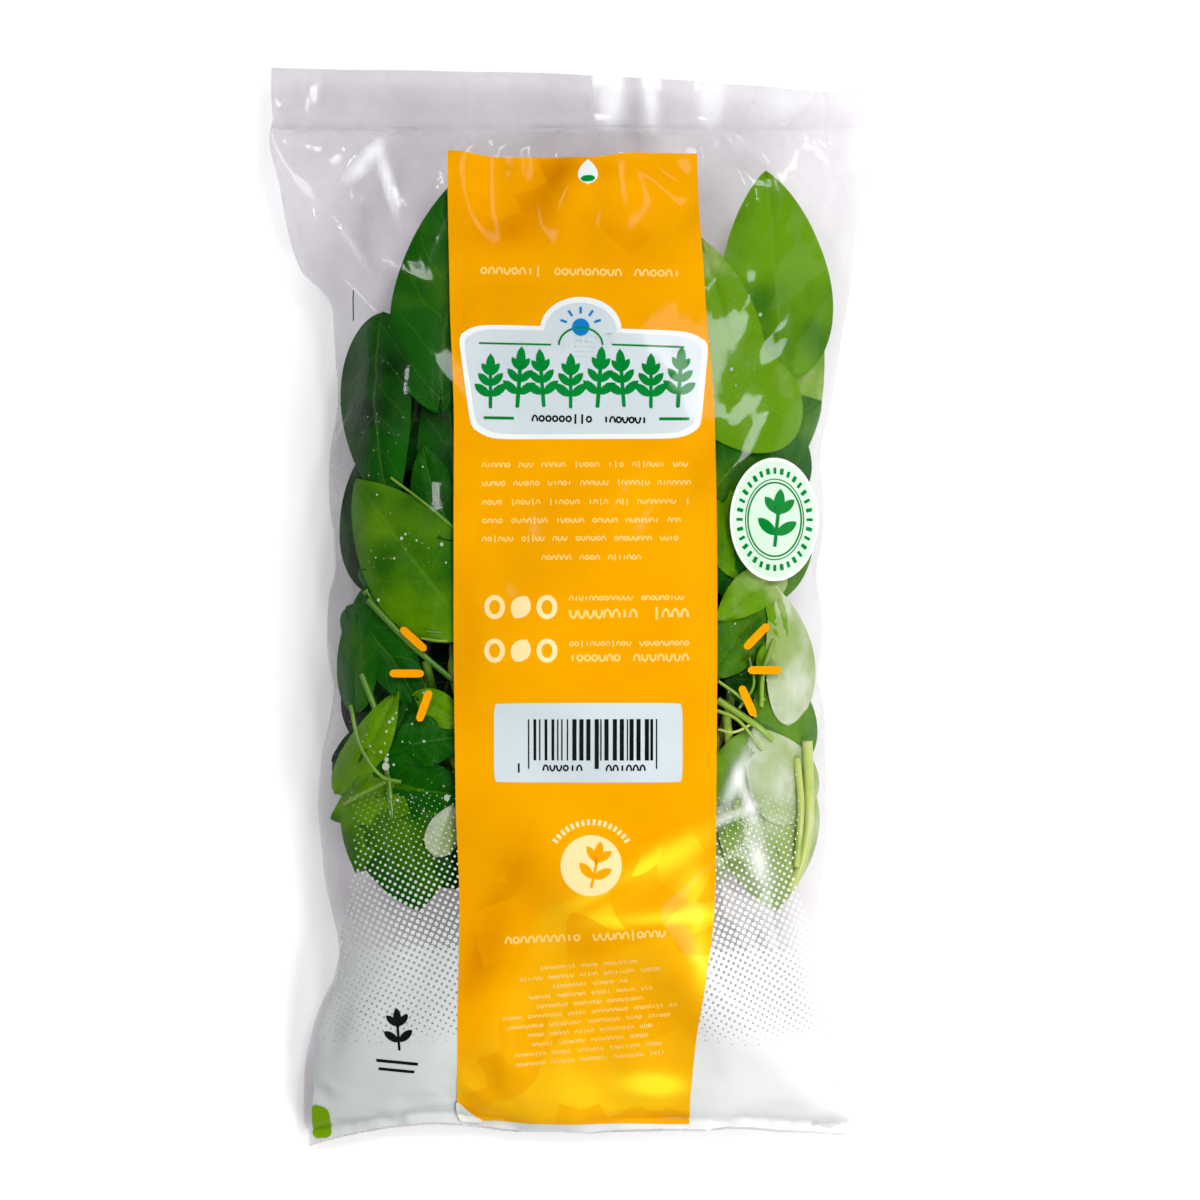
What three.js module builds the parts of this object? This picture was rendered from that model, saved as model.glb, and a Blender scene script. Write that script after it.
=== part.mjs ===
// A sealed clear bag of fresh basil, lying on its back with the printed side up.
// Millimetres. X runs across the bag, Y from the bottom weld to the flat header, Z up from the table.
// The bag is one closed body: a tube of film, welded flat at both ends and filled out by the leaves.
import * as THREE from "three";

// Driving dimensions
const bagLength = 260; // bottom weld to the header's highest corner
const headerLength = 15.4; // flat double film above the top seal
const weldLength = 4; // flat strip along the bottom edge
const fillDepth = 39; // table to the crown of the belly
const filmPair = 1.1; // two layers of film with the air between them
const headerHeight = 13; // the seal's height above the table
const headerDroop = 4; // how far the header's free edge hangs below the seal
const weldHeight = 5.5; // the bottom weld's height above the table
const flatPress = 1.2; // how far the round underside is pressed flat on the table

// Grid of the skin: rings along the bag, points round each ring
const ringCount = 70;
const ringPoints = 72;

const bottomY = -bagLength / 2;
const topY = bagLength / 2;
const sealY = topY - headerLength;
const weldY = bottomY + weldLength;

// The two side edges, seen from above, as [y, x] from the bottom weld to the header
const leftSide = [
  [-130, -62.3], [-113, -61.9], [-100, -59.6], [-81, -54.3], [-64, -57], [-46, -58], [0, -56.2],
  [50, -56], [71, -57.2], [82, -63.7], [102.5, -67.6], [114.6, -70.2], [130, -71],
];
const rightSide = [
  [-130, 67.3], [-105, 62.8], [-81, 59.5], [-50, 62], [-30, 61.5], [10, 60.3],
  [45, 62.2], [70, 65.5], [83, 68.2], [98, 69.6], [114.6, 70.3], [130, 71],
];

// Leaves that press against the front film: centre, length, width and heading in degrees from +Y
const pressedLeaves = [
  { x: 50, y: 80, length: 50, width: 28, heading: -8, height: 1.6 },
  { x: -46, y: 48, length: 48, width: 17, heading: 4, height: 1.8 },
  { x: -33, y: 72, length: 62, width: 22, heading: -20, height: 1.4 },
  { x: -38, y: 15, length: 42, width: 24, heading: 58, height: 1.8 },
  { x: 45, y: 38, length: 44, width: 26, heading: 45, height: 1.2 },
  { x: 54, y: -18, length: 46, width: 15, heading: -14, height: 1.2 },
  { x: -44, y: -38, length: 40, width: 20, heading: -35, height: 1.5 },
  { x: 47, y: -52, length: 38, width: 22, heading: 20, height: 1.3 },
];

// Creases where the film is pulled from a corner or a weld towards the filling: two ends and a height
const creases = [
  { from: [-66, 101], to: [-47, 72], width: 3.4, height: 1.7 },
  { from: [-46, 112], to: [-38, 90], width: 2.6, height: 1.6 },
  { from: [36, 112], to: [45, 94], width: 3, height: 1.5 },
  { from: [64, 104], to: [58, 84], width: 3, height: 1.4 },
  { from: [-54, -84], to: [-57, -122], width: 3.2, height: -2 },
  { from: [38, -58], to: [2, -84], width: 4, height: 1.6 },
  { from: [34, -86], to: [62, -122], width: 4, height: 1.5 },
  { from: [-24, -100], to: [-44, -120], width: 4, height: 1.3 },
];

const pleats = { count: 11, height: 1.5, reach: 13 }; // puckers that fan out of the top seal
const footPleats = { count: 7, height: 1, reach: 15 }; // and of the bottom weld

const clamp = (value, low, high) => Math.min(high, Math.max(low, value));
const mix = (a, b, share) => a + (b - a) * share;
const smooth = (low, high, value) => {
  const t = clamp((value - low) / (high - low), 0, 1);
  return t * t * (3 - 2 * t);
};

// A smooth curve through [y, x] points that never swings past them (monotone cubic)
function curveThrough(points) {
  const steps = points.slice(1).map(([y, x], i) => (x - points[i][1]) / (y - points[i][0]));
  const slopes = points.map((point, i) => {
    if (i === 0 || i === points.length - 1 || steps[i - 1] * steps[i] <= 0) return 0;
    return (2 * steps[i - 1] * steps[i]) / (steps[i - 1] + steps[i]);
  });
  return (y) => {
    const at = clamp(points.findIndex((point) => point[0] >= y) - 1, 0, points.length - 2);
    const [y0, x0] = points[at];
    const [y1, x1] = points[at + 1];
    const span = y1 - y0;
    const t = clamp((y - y0) / span, 0, 1);
    const t2 = t * t;
    const t3 = t2 * t;
    return (
      (2 * t3 - 3 * t2 + 1) * x0 + (t3 - 2 * t2 + t) * span * slopes[at] +
      (3 * t2 - 2 * t3) * x1 + (t3 - t2) * span * slopes[at + 1]
    );
  };
}
const leftEdge = curveThrough(leftSide);
const rightEdge = curveThrough(rightSide);

// The header's free edge falls towards the right, and the bottom weld rises between its corners
const headerDrop = (u) => -1.7 - 3.1 * u - 1.4 * u * u;
const weldRise = (u) =>
  4.2 - 4.2 * Math.exp(-(u + 1) / 0.25) + 1.5 * Math.exp(-(((u + 0.55) / 0.2) ** 2)) - 1.6 * smooth(0.4, 1, u);

// How thick the filled body is at y: full and round in the middle, closing to the film's own depth at the welds
function bodyDepth(y) {
  const t = clamp((y - weldY) / (sealY - weldY), 0, 1);
  return filmPair + (fillDepth - filmPair) * Math.sin(Math.PI * t) ** 0.58;
}

// The underside's height: on the table under the filling, rising to the welds at both ends
function undersideHeight(y) {
  const top = clamp((y - sealY) / headerLength, 0, 1);
  const nearSeal = clamp(1 - (sealY - y) / 36, 0, 1) ** 2;
  const nearWeld = clamp(1 - (y - weldY) / 26, 0, 1) ** 2;
  const seal = y > sealY ? headerHeight - headerDroop * top ** 1.3 : headerHeight * nearSeal;
  return seal + (y < weldY ? weldHeight : weldHeight * nearWeld) - filmPair / 2 * Math.max(nearSeal, nearWeld);
}

// Height of a leaf's print on the film: a pointed oval pad that is flat in the middle
function leafPad(leaf, x, y) {
  const turn = THREE.MathUtils.degToRad(leaf.heading);
  const along = ((x - leaf.x) * Math.sin(turn) + (y - leaf.y) * Math.cos(turn)) / (leaf.length / 2);
  const across = ((x - leaf.x) * Math.cos(turn) - (y - leaf.y) * Math.sin(turn)) / (leaf.width / 2);
  const half = Math.max(0, 1 - along * along) ** 0.8;
  return leaf.height * smooth(0, 0.35, half - Math.abs(across));
}

// Height of a crease: a rounded ridge that fades out at both ends
function creaseRidge(crease, x, y) {
  const [x0, y0] = crease.from;
  const [dx, dy] = [crease.to[0] - x0, crease.to[1] - y0];
  const length = Math.hypot(dx, dy);
  const along = ((x - x0) * dx + (y - y0) * dy) / (length * length);
  const away = ((x - x0) * dy - (y - y0) * dx) / length;
  const fade = smooth(-0.15, 0.25, along) * smooth(1.15, 0.75, along);
  return crease.height * fade * Math.exp(-((away / crease.width) ** 2));
}

// Puckers beside a weld: waves across the bag that swell a little way in and die out
function weldPleats(set, distance, u) {
  const swell = (distance / set.reach) * Math.exp(1 - distance / set.reach);
  const wander = 0.5 * Math.sin(2.3 * u + 0.8);
  return set.height * swell ** 1.5 * Math.cos(Math.PI * set.count * (u + 0.06 * wander * distance / set.reach));
}

// Everything that stands proud of the smooth pillow on the printed side
function frontRelief(x, y, u) {
  let height = 0;
  for (const leaf of pressedLeaves) height = Math.max(height, leafPad(leaf, x, y));
  for (const crease of creases) height += creaseRidge(crease, x, y);
  if (y < sealY) height += weldPleats(pleats, sealY - y, u);
  if (y > weldY) height += weldPleats(footPleats, y - weldY, u);
  return height;
}

// A point of the skin. ring runs 0 to 1 along the bag, turn 0 to 1 round it: left edge, front, right edge, back.
function skinPoint(ring, turn) {
  const angle = Math.PI - turn * 2 * Math.PI;
  const front = turn <= 0.5;
  const flatY = bottomY + bagLength * ring;
  const depth = bodyDepth(flatY);
  const roundness = clamp((depth - filmPair) / 12, 0, 1); // 0 on the flat strips, 1 on the filled body
  const squareness = mix(6, front ? 2.35 : 3.4, roundness);
  const u = Math.sign(Math.cos(angle)) * Math.abs(Math.cos(angle)) ** (2 / (front ? 2.6 : 3));
  const rise = Math.abs(Math.sin(angle)) ** (2 / squareness);

  const headerShare = smooth(sealY, topY, flatY);
  const weldShare = smooth(weldY + 22, bottomY, flatY);
  const y = flatY + headerDrop(u) * headerShare + weldRise(u) * weldShare;
  const [left, right] = [leftEdge(flatY), rightEdge(flatY)];
  const x = mix(left, right, (u + 1) / 2);

  const low = undersideHeight(flatY) - flatPress * roundness;
  const sideHeight = low + (depth + flatPress * roundness) * mix(0.5, 0.44, roundness);
  if (!front) return [x, y, Math.max(0, sideHeight - (sideHeight - low) * rise)];
  const edgeFade = smooth(1, 0.86, Math.abs(u));
  const relief = frontRelief(x, y, u) * edgeFade * roundness;
  const flutter = flatY > sealY ? headerFlutter(x) * headerShare : 0;
  return [x, y, sideHeight + (low + depth + flatPress * roundness - sideHeight) * rise + relief + flutter];
}

// The header's free edge waves gently up and down
function headerFlutter(x) {
  return 0.9 * Math.cos((2 * Math.PI * (x - 18)) / 47) + 0.5 * Math.cos((2 * Math.PI * x) / 29);
}

// The back film of the header waves with the front one, so it is the front lowered by the pair's depth
function headerBack(ring, turn) {
  const [x, y, z] = skinPoint(ring, 1 - turn);
  return [x, y, z - filmPair * Math.abs(Math.sin(turn * 2 * Math.PI)) ** (1 / 3)];
}

function bagGeometry() {
  const corners = [];
  for (let i = 0; i < ringCount; i += 1) {
    const ring = i / (ringCount - 1);
    const flatHeader = bottomY + bagLength * ring > sealY;
    for (let j = 0; j < ringPoints; j += 1) {
      const turn = j / ringPoints;
      corners.push(...(flatHeader && turn > 0.5 ? headerBack(ring, turn) : skinPoint(ring, turn)));
    }
  }
  const faces = [];
  const at = (i, j) => i * ringPoints + (j % ringPoints);
  for (let i = 0; i < ringCount - 1; i += 1) {
    for (let j = 0; j < ringPoints; j += 1) {
      const [a, b, c, d] = [at(i, j), at(i, j + 1), at(i + 1, j + 1), at(i + 1, j)];
      faces.push(a, b, c, a, c, d);
    }
  }
  // Each end is a narrow strip between the front film and the back film
  const half = ringPoints / 2;
  for (const [i, turned] of [[0, false], [ringCount - 1, true]]) {
    for (let j = 0; j < half; j += 1) {
      const [a, b, c, d] = [at(i, j), at(i, ringPoints - j), at(i, ringPoints - j - 1), at(i, j + 1)];
      const strip = [[a, b, d], [b, c, d]].slice(j === 0 ? 1 : 0, j === half - 1 ? 1 : 2);
      for (const triangle of strip) faces.push(...(turned ? triangle.reverse() : triangle));
    }
  }
  const geometry = new THREE.BufferGeometry();
  geometry.setAttribute("position", new THREE.Float32BufferAttribute(corners, 3));
  geometry.setIndex(faces);
  geometry.computeVertexNormals();
  return geometry;
}

const film = new THREE.MeshStandardMaterial({ color: 0x7fa03c, roughness: 0.3, metalness: 0 });
const bag = new THREE.Mesh(bagGeometry(), film);
bag.name = "bag";

// The origin is the middle of the footprint, on the table
bag.geometry.computeBoundingBox();
const middle = bag.geometry.boundingBox.getCenter(new THREE.Vector3());
bag.position.set(-middle.x, -middle.y, -bag.geometry.boundingBox.min.z);

const part = new THREE.Group();
part.name = "basil_bag";
part.add(bag);

export default part;
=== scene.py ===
# A clear bag of fresh basil with a printed band, lying on its back and seen from straight above.
# All shapes are worked out in millimetres and put into Blender in metres.
import math

import bpy
import numpy as np
from mathutils import Matrix, Vector


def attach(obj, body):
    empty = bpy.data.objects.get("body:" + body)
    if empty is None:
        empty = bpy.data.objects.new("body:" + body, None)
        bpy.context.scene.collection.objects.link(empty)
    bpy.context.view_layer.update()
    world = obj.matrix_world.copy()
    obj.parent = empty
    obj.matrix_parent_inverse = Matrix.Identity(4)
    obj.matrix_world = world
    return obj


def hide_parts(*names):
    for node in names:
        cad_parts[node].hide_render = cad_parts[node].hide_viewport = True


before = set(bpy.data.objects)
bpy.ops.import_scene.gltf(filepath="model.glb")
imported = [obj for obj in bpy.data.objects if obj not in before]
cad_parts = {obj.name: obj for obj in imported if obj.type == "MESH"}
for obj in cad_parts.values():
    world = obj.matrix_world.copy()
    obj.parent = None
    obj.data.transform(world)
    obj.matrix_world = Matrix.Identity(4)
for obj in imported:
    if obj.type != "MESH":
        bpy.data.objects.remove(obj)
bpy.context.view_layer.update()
scene = bpy.context.scene
metre = 0.001  # one millimetre
print("frame loaded")


# small helpers for numbers and meshes

def smooth(low, high, value):  # 0 at low, 1 at high, an S between
    t = np.clip((value - low) / (high - low), 0, 1)
    return t * t * (3 - 2 * t)


def mix(a, b, share):
    return a + (b - a) * share


def curveThrough(points, at):  # smooth curve through (place, value) points that never overshoots them
    pts = np.array(points, float)
    step = np.diff(pts[:, 1]) / np.diff(pts[:, 0])
    slope = np.zeros(len(pts))
    both = step[:-1] * step[1:]
    total = np.where(both > 0, step[:-1] + step[1:], 1)
    slope[1:-1] = np.where(both > 0, 2 * both / total, 0)
    k = np.clip(np.searchsorted(pts[:, 0], at) - 1, 0, len(pts) - 2)
    span = pts[k + 1, 0] - pts[k, 0]
    t = np.clip((at - pts[k, 0]) / span, 0, 1)
    ends = (2 * t**3 - 3 * t**2 + 1) * pts[k, 1] + (3 * t**2 - 2 * t**3) * pts[k + 1, 1]
    return ends + (t**3 - 2 * t**2 + t) * span * slope[k] + (t**3 - t**2) * span * slope[k + 1]


def softPatches(patches, x, y):
    # sum of turned bell shapes, each as x, y, reach across and along, heading from +Y, amount
    total = np.zeros(np.shape(x))
    for cx, cy, wide, tall, heading, amount in patches:
        turn = math.radians(heading)
        along = ((x - cx) * math.sin(turn) + (y - cy) * math.cos(turn)) / tall
        across = ((x - cx) * math.cos(turn) - (y - cy) * math.sin(turn)) / wide
        total += amount * np.exp(-(along**2) - across**2)
    return total


def gridFaces(rows, columns, closed=False):  # quads of a grid, joined round its rows if closed
    wide = columns if closed else columns - 1
    i, j = np.meshgrid(np.arange(rows - 1), np.arange(wide), indexing="ij")
    a, b = i * columns + j, i * columns + (j + 1) % columns
    return np.stack([a, b, b + columns, a + columns], -1).reshape(-1, 4)


def singly(specs, width):  # the columns of a list of shapes, each ready to spread over the shapes' grids
    return (column[:, None, None] for column in np.array(specs, float).reshape(-1, width).T)


def unitGrid(columns, rows, low=-1):
    return np.meshgrid(np.linspace(low, 1, columns), np.linspace(-1, 1, rows))


def repeated(faces, size, count):  # the same faces for each of a row of shapes with size points
    return (faces[None] + size * np.arange(count)[:, None, None]).reshape(-1, faces.shape[1])


def thinSolids(sheets, thickness):
    # sheets (count, rows, columns, 3) become closed thin solids: the sheet, a copy below, and a rim between
    along, across = np.gradient(sheets, axis=1), np.gradient(sheets, axis=2)
    normal = np.cross(across, along)
    normal /= np.linalg.norm(normal, axis=-1, keepdims=True) + 1e-12
    count, rows, columns = sheets.shape[:3]
    size = rows * columns
    points = np.stack([sheets, sheets - normal * thickness], 1)
    index = np.arange(size).reshape(rows, columns)
    edge = np.concatenate([index[0, :-1], index[:-1, -1], index[-1, :0:-1], index[:0:-1, 0]])
    ahead = np.roll(edge, -1)
    top = gridFaces(rows, columns)
    one = np.concatenate([top, top[:, ::-1] + size, np.stack([ahead, edge, edge + size, ahead + size], -1)])
    return points.reshape(-1, 3), [repeated(one, 2 * size, count)]


def thinning(loops, thickness):  # the step down from loops of points (count, corners, 3) to their underside
    normal = np.cross(loops[:, 2] - loops[:, 0], loops[:, 4] - loops[:, 2])
    return (normal / np.linalg.norm(normal, axis=-1, keepdims=True) * thickness)[:, None]


def prisms(loops, thickness):  # loops that face up become flat prisms
    count, corners = loops.shape[:2]
    points = np.stack([loops - thinning(loops, thickness), loops], 1)
    caps = np.stack([np.arange(corners)[::-1], np.arange(corners) + corners])
    blocks = [repeated(faces, 2 * corners, count) for faces in (gridFaces(2, corners, True), caps)]
    return points.reshape(-1, 3), blocks


def holedPrisms(outer, inner, thickness):  # flat prisms between outer and inner loops
    count, corners = outer.shape[:2]
    step = thinning(outer, thickness)
    points = np.stack([outer, outer - step, inner - step, inner], 1)
    index = np.arange(4 * corners).reshape(4, corners)
    down = np.roll(index, -1, 0)
    faces = np.stack([index, down, np.roll(down, -1, 1), np.roll(index, -1, 1)], -1).reshape(-1, 4)
    return points.reshape(-1, 3), [repeated(faces, 4 * corners, count)]


def tube(line, radius, sides):  # rings of points square to a line, shut by a flat face at each end
    along = np.gradient(line, axis=0)
    along /= np.linalg.norm(along, axis=1, keepdims=True)
    across = np.cross(along, (0, 0, 1.0))
    across /= np.linalg.norm(across, axis=1, keepdims=True)
    up = np.cross(across, along)
    angle = np.linspace(0, 2 * math.pi, sides, endpoint=False)[None, :, None]
    circle = across[:, None] * np.cos(angle) + up[:, None] * np.sin(angle)
    points = line[:, None] + circle * radius[:, None, None]
    ends = np.stack([np.arange(sides), np.arange(sides)[::-1] + (len(line) - 1) * sides])
    return points.reshape(-1, 3), [gridFaces(len(line), sides, True)[:, ::-1], ends]


def joined(parts):  # several (points, face blocks) as one
    points, blocks, start = [], [], 0
    for some, faces in parts:
        points.append(some)
        blocks += [block + start for block in faces]
        start += len(some)
    return np.concatenate(points), blocks


def addPiece(name, points, blocks, material, slot=None, uv=None, values=None):
    # whole arrays become a mesh that rides on the bag: points in mm, faces in blocks of corner numbers
    mesh = bpy.data.meshes.new(name)
    faces = [face for block in blocks for face in block.tolist()]
    mesh.from_pydata((points * metre).tolist(), [], faces)
    mesh.polygons.foreach_set("use_smooth", np.ones(len(faces), bool))
    mesh.set_sharp_from_angle(angle=math.radians(50))
    if uv is not None:
        corner = np.empty(len(mesh.loops), np.int32)
        mesh.loops.foreach_get("vertex_index", corner)
        own = mesh.uv_layers.new(name="ownMap")
        own.data.foreach_set("uv", uv.reshape(-1, 2)[corner].astype(np.float32).ravel())
    for label, numbers in (values or {}).items():
        own = mesh.attributes.new(label, "FLOAT", "POINT")
        own.data.foreach_set("value", np.ascontiguousarray(numbers, np.float32).ravel())
    mesh.materials.append(material)
    piece = bpy.data.objects.new(name, mesh)
    scene.collection.objects.link(piece)
    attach(piece, "root")
    return piece


# helpers for materials

def screen(red, green, blue):  # a colour as seen on screen, 0 to 255, for a shader
    c = np.array([red, green, blue]) / 255
    c = np.where(c <= 0.04045, c / 12.92, ((c + 0.055) / 1.055) ** 2.4)
    return (*c.tolist(), 1.0)


def newMaterial(name):
    material = bpy.data.materials.new(name)
    material.use_nodes = True
    tree = material.node_tree
    tree.nodes.clear()
    return material, tree, tree.nodes.new("ShaderNodeOutputMaterial")


def plug(tree, socket, value):
    if isinstance(value, bpy.types.NodeSocket):
        tree.links.new(value, socket)
    else:
        socket.default_value = value


def node(tree, kind, settings=None, **inputs):  # inputs by name, with _ for a space, or by number as i0, i1
    made = tree.nodes.new("ShaderNode" + kind)
    for key, value in (settings or {}).items():
        setattr(made, key, value)
    for key, value in inputs.items():
        socket = made.inputs[int(key[1:]) if key[0] == "i" and key[1:].isdigit() else key.replace("_", " ")]
        plug(tree, socket, value)
    return made


def sums(tree, operation, a, b=0.0, clamp=False):
    return node(tree, "Math", {"operation": operation, "use_clamp": clamp}, i0=a, i1=b).outputs[0]


def ramp(tree, value, low, high, outLow=0.0, outHigh=1.0):  # an S curve from one range to another
    return node(tree, "MapRange", {"interpolation_type": "SMOOTHSTEP"}, i0=value, i1=low, i2=high,
                i3=outLow, i4=outHigh).outputs[0]


def blend(tree, share, a, b):
    return node(tree, "Mix", {"data_type": "RGBA"}, i0=share, i6=a, i7=b).outputs[2]


def ownPlace(tree):  # where a point lies on the object, in metres
    return node(tree, "TexCoord").outputs["Object"]


def noise(tree, where, scale, detail=2.0, output="Fac"):
    return node(tree, "TexNoise", Vector=where, Scale=scale, Detail=detail).outputs[output]


def moved(tree, where, cloud, reach):  # a place pushed aside by a cloud's colour
    return node(tree, "VectorMath", {"operation": "MULTIPLY_ADD"}, i0=cloud, i1=reach, i2=where).outputs[0]


def cells(tree, where, scale):  # distance to the edge of irregular cells
    made = node(tree, "TexVoronoi", {"feature": "DISTANCE_TO_EDGE"}, Vector=where, Scale=scale)
    return made.outputs["Distance"]


def attribute(tree, label):
    return node(tree, "Attribute", {"attribute_name": label}).outputs["Fac"]


def finished(tree, output, shader):
    tree.links.new(shader.outputs[0], output.inputs[0])


def newGroup(name, inputs, outputs):  # a shader node group with named sockets
    group = bpy.data.node_groups.new(name, "ShaderNodeTree")
    for label, kind, start in inputs:
        socket = group.interface.new_socket(label, in_out="INPUT", socket_type="NodeSocket" + kind)
        socket.default_value = start
    for label, kind in outputs:
        group.interface.new_socket(label, in_out="OUTPUT", socket_type="NodeSocket" + kind)
    return group, group.nodes.new("NodeGroupInput").outputs, group.nodes.new("NodeGroupOutput").inputs


def place(tree, group, **inputs):
    made = tree.nodes.new("ShaderNodeGroup")
    made.node_tree = group
    for key, value in inputs.items():
        plug(tree, made.inputs[key], value)
    return made.outputs


# camera, floor and light

view = {"centre": (7.9, 1.8), "height": 1500, "frame": 288.5, "focus": 20, "sensor": 36}
camera = bpy.data.objects.new("camera", bpy.data.cameras.new("camera"))
camera.data.sensor_width = view["sensor"]
camera.data.lens = view["sensor"] * (view["height"] - view["focus"]) / view["frame"]
camera.data.clip_start, camera.data.clip_end = 0.05, 20
camera.location = (view["centre"][0] * metre, view["centre"][1] * metre, view["height"] * metre)
scene.collection.objects.link(camera)
scene.camera = camera

# place in m, width across and length along the bag in m, power in W, colour, and whether the film mirrors it
lamps = {
    "skylight": ((-0.15, 0.1, 1.5), 1.3, 1.3, 4.4, (1.0, 1.0, 1.0), False),
    "softLeft": ((-1.0, 0.3, 0.8), 0.9, 0.9, 1.6, (0.96, 0.97, 1.0), False),
    "windowRight": ((0.55, 0.0, 0.35), 0.32, 0.7, 1.1, (1.0, 0.99, 0.97), True),
    "windowFoot": ((0.34, -0.42, 0.60), 0.22, 0.26, 3.2, (1.0, 0.99, 0.97), True),
    "panelHead": ((0.31, 0.64, 1.1), 0.18, 0.5, 6.0, (1.0, 1.0, 1.0), True),
    "panelLeft": ((-0.36, 0.42, 0.95), 0.09, 0.22, 1.5, (1.0, 1.0, 1.0), True),
}
for label, (spot, width, length, power, colour, mirrored) in lamps.items():
    data = bpy.data.lights.new(label, "AREA")
    data.shape, data.size, data.size_y = "RECTANGLE", width, length
    data.energy, data.color = power, colour
    lamp = bpy.data.objects.new(label, data)
    lamp.location = spot
    away = Vector(spot).normalized()
    across = Vector((0, 1, 0)).cross(away).normalized()
    lamp.rotation_euler = Matrix((across, away.cross(across), away)).transposed().to_euler()
    lamp.visible_glossy = mirrored
    scene.collection.objects.link(lamp)

# a dim studio, brighter low down and to the right, so that the film's sides shine and its front stays clear
world = bpy.data.worlds.new("studio")
scene.world = world
world.use_nodes = True
sky = world.node_tree
way = node(sky, "SeparateXYZ", Vector=node(sky, "TexCoord").outputs["Generated"]).outputs
fromLow, fromRight = ramp(sky, way[2], 0.2, 0.9, 0.3, 0.01), ramp(sky, way[0], -0.5, 0.6, 0.35, 1.0)
strength = sums(sky, "MULTIPLY", fromLow, fromRight)
plug(sky, sky.nodes["Background"].inputs["Color"], (0.95, 0.96, 1.0, 1))
plug(sky, sky.nodes["Background"].inputs["Strength"], strength)
scene.view_settings.view_transform = "Standard"
scene.cycles.transparent_max_bounces = 32

floorMaterial, tree, output = newMaterial("paleFloor")
pale = blend(tree, noise(tree, ownPlace(tree), 4.0), (0.93, 0.93, 0.935, 1), (0.95, 0.95, 0.95, 1))
white = node(tree, "BsdfPrincipled", Base_Color=pale, Roughness=0.8, Emission_Color=pale,
             Emission_Strength=0.22)
finished(tree, output, white)
floorMesh = bpy.data.meshes.new("floor")
half, drop = 3, -0.0003  # half the floor's side, and its height under the bag, in m
floorMesh.from_pydata([(-half, -half, drop), (half, -half, drop), (half, half, drop), (-half, half, drop)],
                      [], [(0, 1, 2, 3)])
floorMesh.materials.append(floorMaterial)
floor = bpy.data.objects.new("floor", floorMesh)
scene.collection.objects.link(floor)
print("camera, floor and light set")

# form of the film bag before it settles, in mm

bag = {
    "length": 260.0, "header": 15.4, "weld": 4.0, "fillDepth": 39.0, "filmPair": 1.1,
    "headerHeight": 13.0, "headerDroop": 4.0, "weldHeight": 5.5, "flatPress": 1.2,
    # side edges as (y, x)
    "leftSide": [(-130, -62.3), (-113, -61.9), (-100, -59.6), (-81, -54.3), (-64, -57), (-46, -58),
                 (0, -56.2), (50, -56), (71, -57.2), (82, -63.7), (102.5, -67.6), (114.6, -70.2), (130, -71)],
    "rightSide": [(-130, 67.3), (-105, 62.8), (-81, 59.5), (-50, 62), (-30, 61.5), (10, 60.3), (45, 62.2),
                  (70, 65.5), (83, 68.2), (98, 69.6), (114.6, 70.3), (130, 71)],
    # leaves that press from inside: centre x and y, length, width, heading from +Y in degrees, height
    "pressedLeaves": [(50, 80, 50, 28, -8, 1.0), (-46, 48, 48, 17, 4, 1.1), (-33, 72, 62, 22, -20, 0.8),
                      (-38, 15, 42, 24, 58, 1.1), (45, 38, 44, 26, 45, 0.7), (54, -18, 46, 15, -14, 0.7),
                      (-44, -38, 40, 20, -35, 0.9), (47, -52, 38, 22, 20, 0.8)],
    # creases between two ends, with width and height
    "creases": [((-66, 101), (-47, 72), 3.4, 1.7), ((-46, 112), (-38, 90), 2.6, 1.6),
                ((36, 112), (45, 94), 3, 1.5), ((64, 104), (58, 84), 3, 1.4),
                ((-54, -84), (-57, -122), 3.2, -2), ((38, -58), (2, -84), 4, 1.6),
                ((34, -86), (62, -122), 4, 1.5), ((-24, -100), (-44, -120), 4, 1.3)],
    "pleats": (11, 0.22, 13.0), "footPleats": (7, 0.3, 15.0),  # count, height, reach
    # waves of the header as (x, z)
    "headerWave": [(-71, 0.3), (-54, -0.5), (-36, 0.4), (-16, -0.3), (5, 0.9), (15, -0.25), (17.3, 0.2),
                   (23.2, -0.6), (30, 0.7), (39.5, -0.5), (50, 0.5), (60, -0.2), (71, 0.3)],
}
bottomY, topY = -bag["length"] / 2, bag["length"] / 2
sealY, weldY = topY - bag["header"], bottomY + bag["weld"]


def leafPads(x, y):  # pointed ovals, flat in the middle, that stand for leaves under the film
    height = np.zeros_like(x)
    for cx, cy, length, width, heading, tall in bag["pressedLeaves"]:
        turn = math.radians(heading)
        along = ((x - cx) * math.sin(turn) + (y - cy) * math.cos(turn)) / (length / 2)
        across = ((x - cx) * math.cos(turn) - (y - cy) * math.sin(turn)) / (width / 2)
        half = np.maximum(0, 1 - along * along) ** 0.8
        height = np.maximum(height, tall * smooth(-0.15, 0.7, half - np.abs(across)))
    return height


def ridges(lines, x, y):  # rounded ridges along lines, that fade out at both ends
    height = np.zeros_like(x)
    for (x0, y0), (x1, y1), width, tall in lines:
        dx, dy = x1 - x0, y1 - y0
        length = math.hypot(dx, dy)
        along = ((x - x0) * dx + (y - y0) * dy) / length**2
        away = ((x - x0) * dy - (y - y0) * dx) / length
        bell = np.exp(-((away / width) ** 2))
        height += tall * smooth(-0.15, 0.25, along) * smooth(1.15, 0.75, along) * bell
    return height


def weldPleats(pleats, distance, u):
    # waves across the bag that swell a little way in from a weld and die out
    count, tall, reach = pleats
    swell = np.maximum(distance, 0) / reach * np.exp(1 - distance / reach)
    wander = 0.03 * np.sin(2.3 * u + 0.8) * distance / reach
    return tall * swell**1.5 * np.cos(math.pi * count * (u + wander))


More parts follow.
